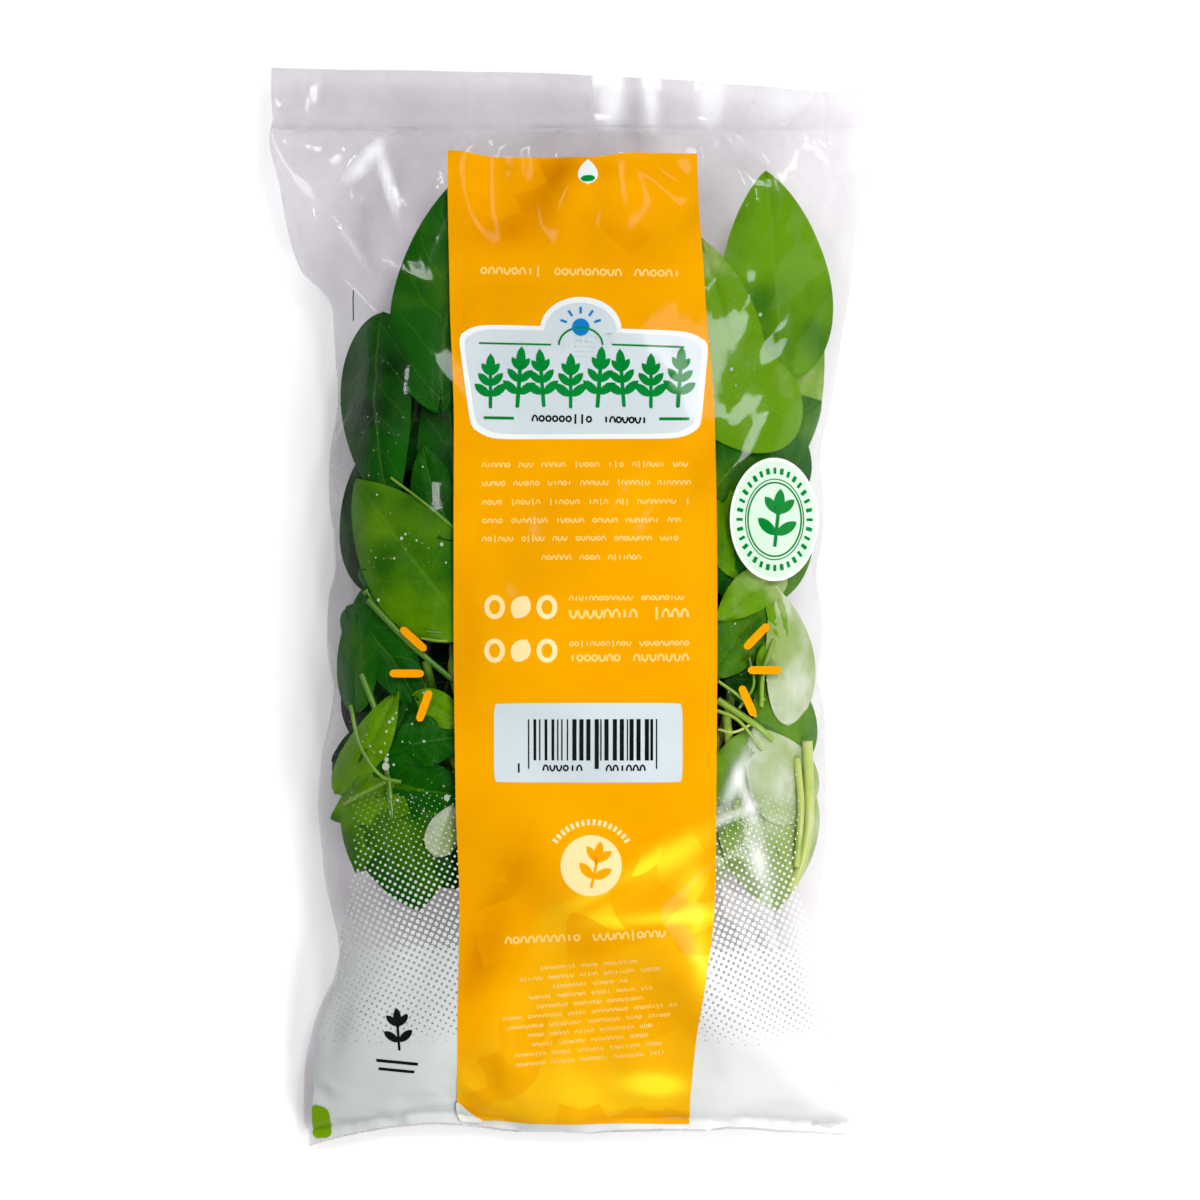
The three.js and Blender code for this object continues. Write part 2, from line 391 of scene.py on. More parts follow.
def bodyDepth(y):  # full and round in the middle, closing to a pair of films at the welds
    t = np.clip((y - weldY) / (sealY - weldY), 0, 1)
    return bag["filmPair"] + (bag["fillDepth"] - bag["filmPair"]) * np.sin(math.pi * t) ** 0.58


def undersideHeight(y):  # on the table under the filling, rising to both welds
    top = np.clip((y - sealY) / bag["header"], 0, 1)
    nearSeal = np.clip(1 - (sealY - y) / 36, 0, 1) ** 2
    nearWeld = np.clip(1 - (y - weldY) / 26, 0, 1) ** 2
    head = bag["headerHeight"] - bag["headerDroop"] * top
    seal = np.where(y > sealY, head, bag["headerHeight"] * nearSeal)
    weld = bag["weldHeight"] * np.where(y < weldY, 1, nearWeld)
    return seal + weld - bag["filmPair"] / 2 * np.maximum(nearSeal, nearWeld)


def filmPoint(ring, turn):
    # ring runs 0 to 1 along the bag, and turn 0 to 1 round it: left edge, front, right edge, back.
    # Each section is a flattened super-ellipse between the two side edges, squarer on the table side.
    angle = math.pi - turn * 2 * math.pi
    front = turn <= 0.5
    flatY = bottomY + bag["length"] * ring
    depth = bodyDepth(flatY)
    roundness = np.clip((depth - bag["filmPair"]) / 12, 0, 1)
    squareness = mix(6, np.where(front, 2.35, 3.4), roundness)
    c, s = np.cos(angle), np.sin(angle)
    u = np.sign(c) * np.abs(c) ** (2 / np.where(front, 2.6, 3.0))
    lift = np.abs(s) ** (2 / squareness)
    headerShare = smooth(sealY, topY, flatY)
    weldShare = smooth(weldY + 22, bottomY, flatY)
    headerDrop = -1.7 - 3.1 * u - 1.4 * u * u
    weldRise = 4.2 - 4.2 * np.exp(-(u + 1) / 0.25) + 1.5 * np.exp(-(((u + 0.55) / 0.2) ** 2))
    weldRise = weldRise - 1.6 * smooth(0.4, 1, u)
    y = flatY + headerDrop * headerShare + weldRise * weldShare
    x = mix(curveThrough(bag["leftSide"], flatY), curveThrough(bag["rightSide"], flatY), (u + 1) / 2)
    low = undersideHeight(flatY) - bag["flatPress"] * roundness
    full = depth + bag["flatPress"] * roundness
    side = low + full * mix(0.5, 0.44, roundness)
    relief = leafPads(x, y) + ridges(bag["creases"], x, y)
    relief += np.where(y < sealY, weldPleats(bag["pleats"], sealY - y, u), 0)
    relief += np.where(y > weldY, weldPleats(bag["footPleats"], y - weldY, u), 0)
    relief *= smooth(1, 0.86, np.abs(u)) * roundness
    flutter = curveThrough(bag["headerWave"], x) * smooth(sealY, sealY + 5, flatY)
    above = side + (low + full - side) * lift + relief
    below = np.maximum(0, side - (side - low) * lift)
    return np.stack([x, y, np.where(front, above, below) + np.where(flatY > sealY, flutter, 0)], -1)


def evenly(lines, count):  # spreads the points of each line evenly along its own length
    out = np.empty((len(lines), count, 3))
    for row, line in enumerate(lines):
        run = np.concatenate([[0], np.cumsum(np.linalg.norm(np.diff(line, axis=0), axis=1))])
        at = np.linspace(0, run[-1], count)
        out[row] = np.stack([np.interp(at, run, line[:, k]) for k in range(3)], -1)
    return out


def filmGrid(count, around):  # rings of points round the bag, evenly spread over its front and its back
    half = around // 2
    ring, turn = np.meshgrid(np.linspace(0, 1, count), np.linspace(0, 0.5, 8 * half + 1), indexing="ij")
    front = evenly(filmPoint(ring, turn), half + 1)
    back = evenly(filmPoint(ring, 1 - turn[:, ::-1] + 1e-9), half + 1)
    back[:, 0], back[:, -1] = front[:, -1], front[:, 0]
    return np.concatenate([front[:, :-1], back[:, :-1]], 1)


# the film settles: it keeps its own size, so loose film throws folds between the welds and the filling

settle = {
    # rings, points round, passes, and how strongly spans of two and four steps stay straight
    "grids": [(66, 72, 200, 0.8, 0.6), (131, 144, 100, 0.4, 0.25), (261, 288, 60, 0.2, 0.08)],
    "slackAcross": 0.012, "slackAlong": 0.010, "slackSeal": 0.045, "slackWeld": 0.035, "slackSides": 0.018,
    "slackFlat": 0.004, "inward": 0.9, "outward": 4.0, "sideways": 3.0, "flatRoom": 0.35,
    "slant": (0.6, 0.4), "pairGap": 0.3, "noise": 1.2, "calm": 10, "seed": 7,
}


def links(count, around):  # pairs of grid points in sets that share no point, with their direction and reach
    index = np.arange(count * around).reshape(count, around)
    sets = []
    for reach in (1, 2, 4):
        ahead = np.roll(index, -reach, 1)
        column = np.arange(around) % (2 * reach) < reach
        row = np.arange(count - reach) % (2 * reach) < reach
        for j, i in ((column, row), (~column, ~row)):
            sets.append((index[:, j].ravel(), ahead[:, j].ravel(), "across", reach))
            sets.append((index[:-reach][i].ravel(), index[reach:][i].ravel(), "along", reach))
            if reach == 1:
                sets.append((index[:-1][i].ravel(), ahead[1:][i].ravel(), "slant", reach))
                sets.append((ahead[:-1][i].ravel(), index[1:][i].ravel(), "slant", reach))
    return sets


def outwardNormals(form):
    normal = np.cross(np.roll(form, -1, 1) - np.roll(form, 1, 1), np.gradient(form, axis=0))
    normal /= np.linalg.norm(normal, axis=2, keepdims=True) + 1e-9
    return normal if ((form - form.mean(1, keepdims=True)) * normal).sum() > 0 else -normal


def relax(start, form, passes, bendShort, bendLong):
    # Each pass moves every linked pair towards its rest length, then holds the film near its form:
    # no further in than the filling, no further out than loose film reaches, and above the table.
    count, around = form.shape[:2]
    half = around // 2
    y = form[..., 1]
    normal = outwardNormals(form).reshape(-1, 3)
    flat, film = form.reshape(-1, 3), start.reshape(-1, 3).copy()
    atSide = np.cos(2 * math.pi * np.arange(around) / around)[None, :] ** 6
    across = settle["slackAcross"] + settle["slackSeal"] * smooth(sealY - 50, sealY - 2, y)
    across = across + settle["slackWeld"] * smooth(weldY + 55, weldY + 2, y)
    along = settle["slackAlong"] + settle["slackSides"] * atSide * smooth(weldY, weldY + 12, y)
    doubled = (y > sealY) | (y < weldY)
    across, along = (np.where(doubled, settle["slackFlat"], s).ravel() for s in (across, along))
    slack = {"across": across, "along": along, "slant": (across + along) / 2}
    work = []
    for a, b, way, reach in links(count, around):
        rest = np.linalg.norm(flat[a] - flat[b], axis=1) * (1 + slack[way][a])
        stiffness = {1: (1, 1), 2: (0, bendShort), 4: (0, bendLong)}[reach]
        pull, push = settle["slant"] if way == "slant" else stiffness
        work.append((a, b, rest, pull, push))
    room = np.where((y > sealY + 1.5) | (y < weldY), settle["flatRoom"], 1).ravel()
    pair = (y[:, half // 2] > sealY) | (y[:, half // 2] < weldY + 0.5)
    lift = np.array([0, 0, settle["pairGap"]])
    for _ in range(passes):
        for a, b, rest, pull, push in work:
            gap = film[b] - film[a]
            length = np.sqrt((gap * gap).sum(1)) + 1e-9
            off = (length - rest) / length
            gap *= (off * np.where(off > 0, 0.5 * pull, 0.5 * push))[:, None]
            film[a] += gap
            film[b] -= gap
        shift = film - flat
        out = (shift * normal).sum(1)
        side = shift - out[:, None] * normal
        out = np.clip(out, -settle["inward"] * room, settle["outward"] * room)
        far = np.sqrt((side * side).sum(1)) + 1e-9
        side *= (np.minimum(far, settle["sideways"] * room) / far)[:, None]
        film[:] = flat + side + out[:, None] * normal
        film[:, 2] = np.maximum(film[:, 2], 0)
        rows = film.reshape(count, around, 3)
        front, back = rows[:, 1:half], rows[:, :half:-1]
        middle = (front[pair] + back[pair]) / 2
        front[pair], back[pair] = middle + lift, middle - lift
    return film.reshape(count, around, 3)


def finer(coarse, count, around):  # the same closed grid at more points, by linear steps
    i = np.linspace(0, len(coarse) - 1, count)
    a = np.clip(i.astype(int), 0, len(coarse) - 2)
    rows = mix(coarse[a], coarse[a + 1], (i - a)[:, None, None])
    j = np.arange(around) * coarse.shape[1] / around
    b = j.astype(int)
    return mix(rows[:, b], rows[:, (b + 1) % coarse.shape[1]], (j - b)[None, :, None])


def settledFilm():
    random = np.random.default_rng(settle["seed"])
    grids = settle["grids"]
    shift = random.normal(0, 1, (*grids[0][:2], 3))
    for _ in range(settle["calm"]):
        shift[1:-1] = (shift[1:-1] * 2 + shift[:-2] + shift[2:]) / 4
        shift = (shift * 2 + np.roll(shift, 1, 1) + np.roll(shift, -1, 1)) / 4
    shift *= settle["noise"] / shift.std()
    for count, around, passes, bendShort, bendLong in grids:
        form = filmGrid(count, around)
        shift = relax(form + finer(shift, count, around), form, passes, bendShort, bendLong) - form
    return form + shift


film = settledFilm()
filmRows, filmAround = film.shape[:2]
filmHalf = filmAround // 2
filmNormals = outwardNormals(film)
print("film settled")

# the film over a plan grid, for all that lies in or on the bag

plan = {"step": 0.5, "left": -74, "right": 74, "foot": -133, "head": 133}
planX = np.arange(plan["left"], plan["right"] + 0.1, plan["step"])
planY = np.arange(plan["foot"], plan["head"] + 0.1, plan["step"])


def overPlan(lines, values):  # lines of film points from left to right, each with a value, become a plan grid
    byRow = np.empty((len(lines), len(planX), 2))
    for row, line in enumerate(lines):
        x = np.maximum.accumulate(line[:, 0] + np.arange(len(line)) * 1e-6)
        byRow[row] = np.stack([np.interp(planX, x, line[:, 1]), np.interp(planX, x, values[row])], -1)
    out = np.empty((len(planY), len(planX)))
    for column in range(len(planX)):
        y = np.maximum.accumulate(byRow[:, column, 0] + np.arange(len(lines)) * 1e-6)
        out[:, column] = np.interp(planY, y, byRow[:, column, 1])
    return out


def spread(grid, reach, pick):  # the least, most or mean of a square of plan cells
    for axis in (0, 1):
        grid = pick([np.roll(grid, k, axis) for k in range(-reach, reach + 1)], axis=0)
    return grid


def sample(grid, x, y):  # value of a plan grid between its points
    i = np.clip((y - plan["foot"]) / plan["step"], 0, len(planY) - 1.001)
    j = np.clip((x - plan["left"]) / plan["step"], 0, len(planX) - 1.001)
    a, b = i.astype(int), j.astype(int)
    return mix(mix(grid[a, b], grid[a, b + 1], j - b), mix(grid[a + 1, b], grid[a + 1, b + 1], j - b), i - a)


frontLines = film[:, :filmHalf + 1]
backLines = np.concatenate([film[:, :1], film[:, :filmHalf - 1:-1]], 1)
frontHeights = overPlan(frontLines, frontLines[..., 2])
backHeights = overPlan(backLines, backLines[..., 2])
rowOver, columnOver = (overPlan(frontLines, v) for v in np.meshgrid(
    np.arange(filmRows), np.arange(filmHalf + 1.0), indexing="ij"))
# the filling's own skin, without the film's sharp folds
calmFront = spread(spread(spread(frontHeights, 5, np.min), 6, np.mean), 6, np.mean)
calmBack = spread(spread(spread(backHeights, 5, np.max), 6, np.mean), 6, np.mean)


def filmAt(row, column, lift):
    # a point of the film between its grid points, raised along the normal, and up to 4.5 times as far
    # where the film bends to the weld
    row = np.clip(row, 0, filmRows - 1.001)
    lift = lift * (1 + 3.5 * smooth(weldY + 14, weldY + 6, bottomY + bag["length"] * row / (filmRows - 1)))
    a, b = row.astype(int), np.floor(column).astype(int)
    s, t = (row - a)[..., None], (column - b)[..., None]
    b, c = b % filmAround, (b + 1) % filmAround
    point, normal = (
        mix(mix(g[a, b], g[a, c], t), mix(g[a + 1, b], g[a + 1, c], t), s) for g in (film, filmNormals))
    return point + normal / np.linalg.norm(normal, axis=-1, keepdims=True) * lift[..., None]


def onFilm(x, y, lift):  # the front film under a plan point
    return filmAt(sample(rowOver, x, y), sample(columnOver, x, y), lift)


# the film's surface, shared by the clear film and everything printed on it

crinkle, inputs, outputs = newGroup(
    "filmCrinkle", [("Facets", "Float", 1.0), ("Ripples", "Float", 1.0)],
    [("Normal", "Vector"), ("Crease", "Float")])
own = ownPlace(crinkle)
drifted = moved(crinkle, own, noise(crinkle, own, 22.0, output="Color"), (0.03, 0.02, 0.0))
long = node(crinkle, "Mapping", Vector=drifted, Scale=(1.0, 0.5, 1.0), Rotation=(0, 0, 0.35)).outputs[0]
facet = cells(crinkle, long, 62.0)
where = ramp(crinkle, noise(crinkle, own, 28.0, 1.0), 0.45, 0.7)
facets = sums(crinkle, "MULTIPLY", sums(crinkle, "MULTIPLY", facet, where), inputs["Facets"])
ripple = node(crinkle, "TexNoise", Vector=long, Scale=130.0, Detail=3.0, Roughness=0.45).outputs["Fac"]
ripples = sums(crinkle, "MULTIPLY", sums(crinkle, "MULTIPLY", ripple, 0.16), inputs["Ripples"])
bumped = node(crinkle, "Bump", Strength=1.0, Distance=0.0007, Height=sums(crinkle, "ADD", facets, ripples))
crinkle.links.new(bumped.outputs[0], outputs["Normal"])
crinkle.links.new(sums(crinkle, "MULTIPLY", ramp(crinkle, facet, 0.05, 0.0), where), outputs["Crease"])

# hazeAndPaintedLight is how much haze each part of the film has: partly the film's own haze, partly painted
# shade, as the grey haze on the back and the header stands in for the shade behind the film, and partly
# painted highlights from the pale patches
filmLook = {
    "frontMilk": 0.0, "backHazeAndShade": 0.32, "headerHazeAndShade": 0.28, "sealMilk": 0.1, "sideMilk": 0.01,
    "weldMilk": 0.05, "sealCrumple": 9.0,
    # hazeAndShade is the grey of the haze, partly the film's own and partly painted shade; white is the
    # colour of the painted highlights
    "clear": (0.95, 0.94, 0.955, 1), "hazeAndShade": screen(192, 188, 195), "white": screen(250, 250, 252),
    "shine": 0.012, "rimShine": 0.3, "gloss": 0.07,
    # patches: x, y, reach across and along, heading from +Y, amount
    "crumples": [(-47, 97, 6, 11, 0, 9.0), (50, 107, 12, 4, 0, 6.0), (41, -46, 6, 12, 0, 5.0),
                 (-60, -112, 4, 14, 0, 3.0)],
    # the pale patches are painted highlights: white bands on the header, facets at the upper left and glare
    # over the dots at the right
    "pale": [(10.5, 125, 3.4, 12, 2, 0.5), (20.2, 125, 2.2, 12, -3, 0.4), (35, 125, 3.4, 12, 4, 0.55),
             (52, 124, 7, 8, 0, 0.3), (-48, 108, 1.6, 4.5, 40, 0.9), (-50.5, 104, 1.8, 4, 55, 0.7),
             (-43.2, 102, 1.4, 8, -14, 0.9), (-52, 87, 1.0, 9, -33, 0.4), (40.5, -40, 1.8, 8, 24, 0.55),
             (43.5, -46, 1.3, 7, -22, 0.6), (39, -49, 1.1, 6, 66, 0.55), (46, -60, 2.4, 9, -15, 0.5)],
}
filmMaterial, tree, output = newMaterial("clearFilm")
skin = place(tree, crinkle, Facets=1.0, Ripples=sums(tree, "ADD", attribute(tree, "crumple"), 1.0))
cloud = noise(tree, ownPlace(tree), 45.0, 3.0)
hazeAndPaintedLight = sums(tree, "MULTIPLY", attribute(tree, "hazeAndPaintedLight"), ramp(tree, cloud, 0.25, 0.75, 0.7, 1.3))
hazeAndPaintedLight = sums(tree, "ADD", hazeAndPaintedLight, sums(tree, "MULTIPLY", skin["Crease"], 0.03), clamp=True)
# painted highlights: where the pale attribute is high, the grey haze turns white
pale = sums(tree, "MULTIPLY", attribute(tree, "pale"), 3.0, clamp=True)
white = blend(tree, pale, filmLook["hazeAndShade"], filmLook["white"])
hazeAndShade = node(tree, "BsdfPrincipled", Base_Color=white, Roughness=0.5, Normal=skin["Normal"])
through = node(tree, "BsdfTransparent", Color=filmLook["clear"])
body = node(tree, "MixShader", Fac=hazeAndPaintedLight, i1=through.outputs[0], i2=hazeAndShade.outputs[0])
glint = node(tree, "BsdfAnisotropic", Color=(1, 1, 1, 1), Roughness=filmLook["gloss"], Normal=skin["Normal"])
facing = node(tree, "LayerWeight", Blend=0.5, Normal=skin["Normal"]).outputs["Facing"]
mirror = sums(tree, "MULTIPLY_ADD", sums(tree, "POWER", facing, 6.0), filmLook["rimShine"])
mirror.node.inputs[2].default_value = filmLook["shine"]
both = node(tree, "MixShader", Fac=mirror, i1=body.outputs[0], i2=glint.outputs[0])
finished(tree, output, both)


def addFilm():
    # the settled grid, shut at the foot and the head by a strip between its two layers
    front = np.arange(filmHalf + 1)
    back = (filmAround - front) % filmAround
    strip = np.stack([front[1:-2], front[2:-1], back[2:-1], back[1:-2]], -1)
    tips = np.array([[0, 1, back[1]], [filmHalf - 1, filmHalf, back[-2]]])
    last = (filmRows - 1) * filmAround
    blocks = [gridFaces(filmRows, filmAround, True), strip[:, ::-1], tips[:, ::-1],
              strip + last, tips + last]
    y = np.broadcast_to(np.linspace(bottomY, topY, filmRows)[:, None], (filmRows, filmAround))
    turn = np.broadcast_to(np.arange(filmAround), y.shape)
    edge = np.abs(np.cos(2 * math.pi * turn / filmAround)) ** 12
    upper = turn <= filmHalf
    # the grey haze of the back and the header is partly painted shade
    hazeAndPaintedLight = np.where(upper, filmLook["frontMilk"], filmLook["backHazeAndShade"]) + filmLook["sideMilk"] * edge
    hazeAndPaintedLight = np.where(y > sealY, filmLook["headerHazeAndShade"], hazeAndPaintedLight)
    hazeAndPaintedLight = hazeAndPaintedLight + filmLook["sealMilk"] * np.exp(-(((y - sealY - 0.5) / 1.1) ** 2))
    hazeAndPaintedLight = hazeAndPaintedLight + filmLook["weldMilk"] * smooth(weldY, weldY - 1, y)
    # painted highlights on the front film, and less haze, so less painted shade, towards the right, the
    # window side
    pale = softPatches(filmLook["pale"], film[..., 0], y) * upper
    hazeAndPaintedLight = hazeAndPaintedLight * mix(1, 0.4, smooth(15, 62, film[..., 0])) + pale
    crumple = filmLook["sealCrumple"] * smooth(sealY - 9, sealY - 1, y) * smooth(sealY + 2, sealY, y)
    crumple = crumple + softPatches(filmLook["crumples"], film[..., 0], y)
    values = {"hazeAndPaintedLight": hazeAndPaintedLight, "pale": pale, "crumple": crumple}
    piece = addPiece("film", film.reshape(-1, 3), blocks, filmMaterial, "film", values=values)
    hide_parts("bag")


addFilm()
print("film made")


def sideEdge(side, y):
    return curveThrough(bag[side], y)


# leaves

leafForm = {
    "thickness": 0.28, "clear": 0.35, "tip": 0.12, "quilt": 0.34, "midrib": 0.45, "ribWidth": 0.9,
    "veins": 6.5, "veinSweep": 0.22, "narrow": 0.52, "point": 0.82,
}
leafRandom = np.random.default_rng(31)
# x, y, length, width, heading from +Y, share of the depth, tone, cup, wave, twist; tone is the leaf's own
# tone with painted light and shade: higher and paler on the right towards the window, lower and darker on the
# left
pressed = [
    (50, 79.6, 51, 27, -5, 0.92, 0.7, -0.4, 0.3, 0.2), (60, 58, 34, 13, 8, 0.86, 0.96, 1, 0.4, 0.5),
    (37.3, 69, 41, 17, -14, 0.985, 0.86, 0.3, 0.4, 0.3), (39.5, 51, 36, 24, -72, 1, 0.88, 0.4, 0.4, 0.4),
    (44, 40, 36, 24, -28, 0.9, 0.45, 0.6, 0.6, 0.5), (48.5, 39.5, 36, 22, 50, 0.95, 0.6, 0.6, 0.7, 0.5),
    (43.5, 3.4, 20, 10, -125, 0.98, 0.93, 0.5, 0.7, 0.6), (42.5, -4.5, 29, 13, 33, 0.94, 0.66, 1, 0.6, 1),
    (50, 0.4, 17, 5, -10, 0.97, 0.9, 0.3, 0.3, 0.3), (49.3, -10.5, 12, 6, 30, 0.95, 0.82, 0.4, 0.4, 0.4),
    (56, -11.4, 33, 12, -6, 0.975, 1.08, 0.6, 0.5, 0.4),
    (51.7, -25, 28, 15, -14, 0.925, 0.64, 0.9, 0.7, 0.8),
    (44, -14, 26, 15, -30, 0.88, 0.3, 0.9, 0.7, 0.8), (40.5, -37.5, 22, 11, 30, 0.95, 0.8, 0.8, 0.9, 1),
    (51.5, -39.5, 25, 17, -25, 0.975, 1.06, 0.5, 0.6, 0.6), (48, -57, 32, 22, 170, 0.93, 1, 0.7, 0.9, 0.8),
    (57, -52, 30, 12, 175, 0.94, 1.02, 0.7, 0.5, 0.5), (38, -54, 27, 18, 200, 0.87, 1.1, 1, 0.8, 1),
    (52, 18, 38, 24, 15, 0.92, 0.5, 0.8, 0.6, 0.6), (38, 21, 30, 12, -12, 0.93, 0.78, 1, 0.7, 0.8),
    (-28, 77, 61, 27, 8, 0.97, 0.44, 0.8, 0.5, 0.5),
    (-48.4, 46.2, 49, 17.5, 177, 0.975, 0.32, 1.2, 0.6, 0.5),
    (-27.5, 38, 48, 17, -3, 0.95, 0.24, 1, 0.8, 0.6), (-31.5, 27, 24, 12, -20, 0.97, 0.36, 0.8, 0.7, 0.7),
    (-37, 12, 46, 26, -37, 0.99, 0.63, 0.5, 0.5, 0.4), (-37, 3.4, 28, 9, 106, 0.955, 0.44, 0.8, 0.7, 0.8),
    (-52, -10.2, 30, 10, 4, 0.96, 0.42, 0.9, 0.6, 0.6),
    (-42.5, -11.5, 31, 13, 143, 0.955, 0.42, 0.8, 0.9, 0.8),
    (-48.3, -32.8, 29, 10, 31, 0.97, 0.76, 0.8, 0.6, 0.7),
    (-42, -31.5, 24, 11, 30, 0.95, 0.38, 0.7, 0.6, 0.6),
    (-32.4, -31.6, 17, 12, 80, 0.965, 0.47, 0.8, 0.7, 0.6),
    (-30, -24.5, 15, 8, 120, 0.96, 0.78, 0.8, 0.7, 0.6),
    (-49, -45.5, 24, 13, -112, 0.95, 0.58, 0.6, 1, 0.6),
    (-34.5, -43.5, 26, 15, 100, 0.955, 0.34, 0.8, 0.8, 0.8),
    (-38.2, -54.7, 36, 28, 165, 0.95, 0.47, 0.8, 1, 0.7),
    (-45.5, -51, 27, 19, 200, 0.92, 0.6, 0.8, 0.9, 0.8),
    (-31, -58, 25, 19, 140, 0.93, 0.28, 0.8, 0.9, 0.8),
    (-29.3, -53.2, 13, 8, 20, 0.975, 1.04, 0.4, 0.5, 0.4),
    (-45, -38, 30, 21, 100, 0.86, 0.2, 0.9, 0.8, 0.8), (-49, 20, 34, 18, -8, 0.88, 0.25, 1.2, 0.7, 0.8),
    (-36, 50, 36, 20, 10, 0.84, 0.2, 1, 0.8, 0.8), (-46, -22, 26, 18, -20, 0.86, 0.15, 1, 0.8, 0.8),
]


def looseLeaves(count, shares, area, sizes, tonesAndLight):
    # leaves on a jittered grid of places, so that a layer is covered without heaps, and lower at the left
    left, right, foot, head = area
    columns = max(1, round(math.sqrt(count * (right - left) / (head - foot))))
    rows = math.ceil(count / columns)
    i, j = np.divmod(np.arange(count), columns)
    jitter = leafRandom.uniform(0.15, 0.85, (2, count))
    length = leafRandom.uniform(*sizes, count)
    x = left + (right - left) * (j + jitter[0]) / columns
    y = foot + (head - foot) * (i + jitter[1]) / rows
    y = np.minimum(y, mix(48, 78, smooth(-30, -5, x)))
    width = length * leafRandom.uniform(0.52, 0.66, count)
    # heading, share of the depth, tone, cup, wave, twist
    others = [(-180, 180), shares, tonesAndLight, (0.3, 1.6), (0.5, 1.6), (-1.5, 1.5)]
    return np.stack([x, y, length, width, *(leafRandom.uniform(*each, count) for each in others)], -1)


# rows and columns of a leaf's grid, and its leaves; the deeper middle layers get low tones, painted shade
# under the leaves above
leafLayers = [
    (34, 15, pressed),
    (18, 9, looseLeaves(12, (0.88, 0.95), (-8, 20, -60, 88), (28, 36), (0.2, 0.6))),
    (18, 9, looseLeaves(18, (0.62, 0.76), (-38, 46, -50, 56), (26, 36), (0.0, 0.2))),
    (14, 7, looseLeaves(26, (0.4, 0.6), (-42, 48, -52, 66), (30, 42), (0.0, 0.1))),
    (14, 7, looseLeaves(26, (0.2, 0.4), (-42, 48, -54, 70), (30, 42), (0.0, 0.15))),
    (18, 9, looseLeaves(32, (0.0, 0.08), (-42, 48, -56, 76), (32, 46), (0.2, 0.8))),
]


def leafSheets(rows, columns, leaves):
    # A leaf is an ovate outline over its length and width. Its height is the sum of a midrib groove, bulges
    # between swept side veins, a cup across it, a waved edge and a twist, laid at a share of the bag's depth.
    form = leafForm
    x, y, length, width, heading, share, tone, cup, wave, twist = singly(leaves, 10)
    s = (0.5 - 0.5 * np.cos(np.linspace(0, math.pi, rows)))[None, :, None]
    t = np.linspace(-1, 1, columns)[None, None, :]
    outline = s**form["narrow"] * (1 - s) ** form["point"]
    half = width / 2 * outline / outline.max() + form["tip"]
    serial = np.arange(len(x))[:, None, None] * 1.7
    across = t * half + 0.06 * length * np.sin(serial) * (2 * s - 1) ** 2
    along = (s - 0.5) * length
    turn = np.radians(heading)
    px = x + across * np.cos(turn) + along * np.sin(turn)
    py = y - across * np.sin(turn) + along * np.cos(turn)
    px = px + np.maximum(0, (sideEdge("leftSide", py) + 1.2 - px).max((1, 2), keepdims=True))
    px = px - np.maximum(0, (px + 1.2 - sideEdge("rightSide", py)).max((1, 2), keepdims=True))
    sweep = form["veins"] * (s - form["veinSweep"] * np.abs(t) ** 1.4)
    bulge = form["quilt"] * np.abs(np.cos(math.pi * sweep)) ** 0.7
    bulge = bulge * (1 - np.abs(t) ** 3) * smooth(0, 0.25, np.abs(t))
    rib = -form["midrib"] * np.exp(-((t * half / form["ribWidth"]) ** 2)) * smooth(1, 0.8, s)
    edge = wave * np.sin(5 * math.pi * s + serial + np.sign(t)) * np.abs(t) ** 2.5
    droop = -cup * (np.abs(t) ** 1.6 * half / half.max() * 1.8 + 0.8 * (2 * s - 1) ** 2)
    relief = bulge + rib + edge + droop + twist * t * (2 * s - 1)
    low = sample(backHeights, px, py) + form["clear"] + form["thickness"]
    high = np.maximum(sample(frontHeights, px, py) - form["clear"], low + 0.1)
    bed = mix(sample(calmBack, px, py) + 0.6, sample(calmFront, px, py) - 0.2, share)
    z = np.clip(bed + relief * smooth(0, 6, high - low), low, high)
    uv = np.stack(np.broadcast_arrays(s, t * 0.5 + 0.5 + 0 * x), -1)
    return np.stack([px, py, z], -1), uv, np.broadcast_to(tone, z.shape)


def plantColour(tree, dark, mid, light, pale):
    # dark to pale by the tone attribute, with soft blotches: the leaf's own tone with painted light and
    # shade, and near white above 1 for leaves washed out by the window (painted reflection)
    own = ownPlace(tree)
    blotch = ramp(tree, noise(tree, own, 90.0, 3.0), 0.25, 0.75, -0.07, 0.07)
    broad = ramp(tree, noise(tree, own, 34.0), 0.3, 0.7, -0.1, 0.1)
    shade = sums(tree, "ADD", attribute(tree, "tone"), sums(tree, "ADD", blotch, broad))
    colour = blend(tree, ramp(tree, shade, 0.1, 0.45), screen(*dark), screen(*mid))
    colour = blend(tree, ramp(tree, shade, 0.45, 0.82), colour, screen(*light))
    colour = blend(tree, ramp(tree, shade, 0.86, 0.97), colour, screen(*pale))
    return blend(tree, ramp(tree, shade, 1.0, 1.2), colour, screen(218, 228, 202)), own


leafMaterial, tree, output = newMaterial("basilLeaf")
colour, own = plantColour(tree, (0, 20, 0), (16, 94, 0), (106, 160, 0), (156, 184, 100))
onLeaf = node(tree, "UVMap", {"uv_map": "ownMap"}).outputs[0]
onLeaf = moved(tree, onLeaf, noise(tree, own, 160.0, output="Color"), (0.05, 0.08, 0.0))
grain = node(tree, "SeparateXYZ", Vector=onLeaf).outputs
side = sums(tree, "ABSOLUTE", sums(tree, "SUBTRACT", sums(tree, "MULTIPLY", grain[1], 2.0), 1.08))
swept = sums(tree, "MULTIPLY", sums(tree, "POWER", side, 1.4), leafForm["veinSweep"])
phase = sums(tree, "MULTIPLY", sums(tree, "SUBTRACT", grain[0], swept), leafForm["veins"])
offVein = sums(tree, "ABSOLUTE", sums(tree, "SUBTRACT", sums(tree, "FRACT", phase), 0.5))
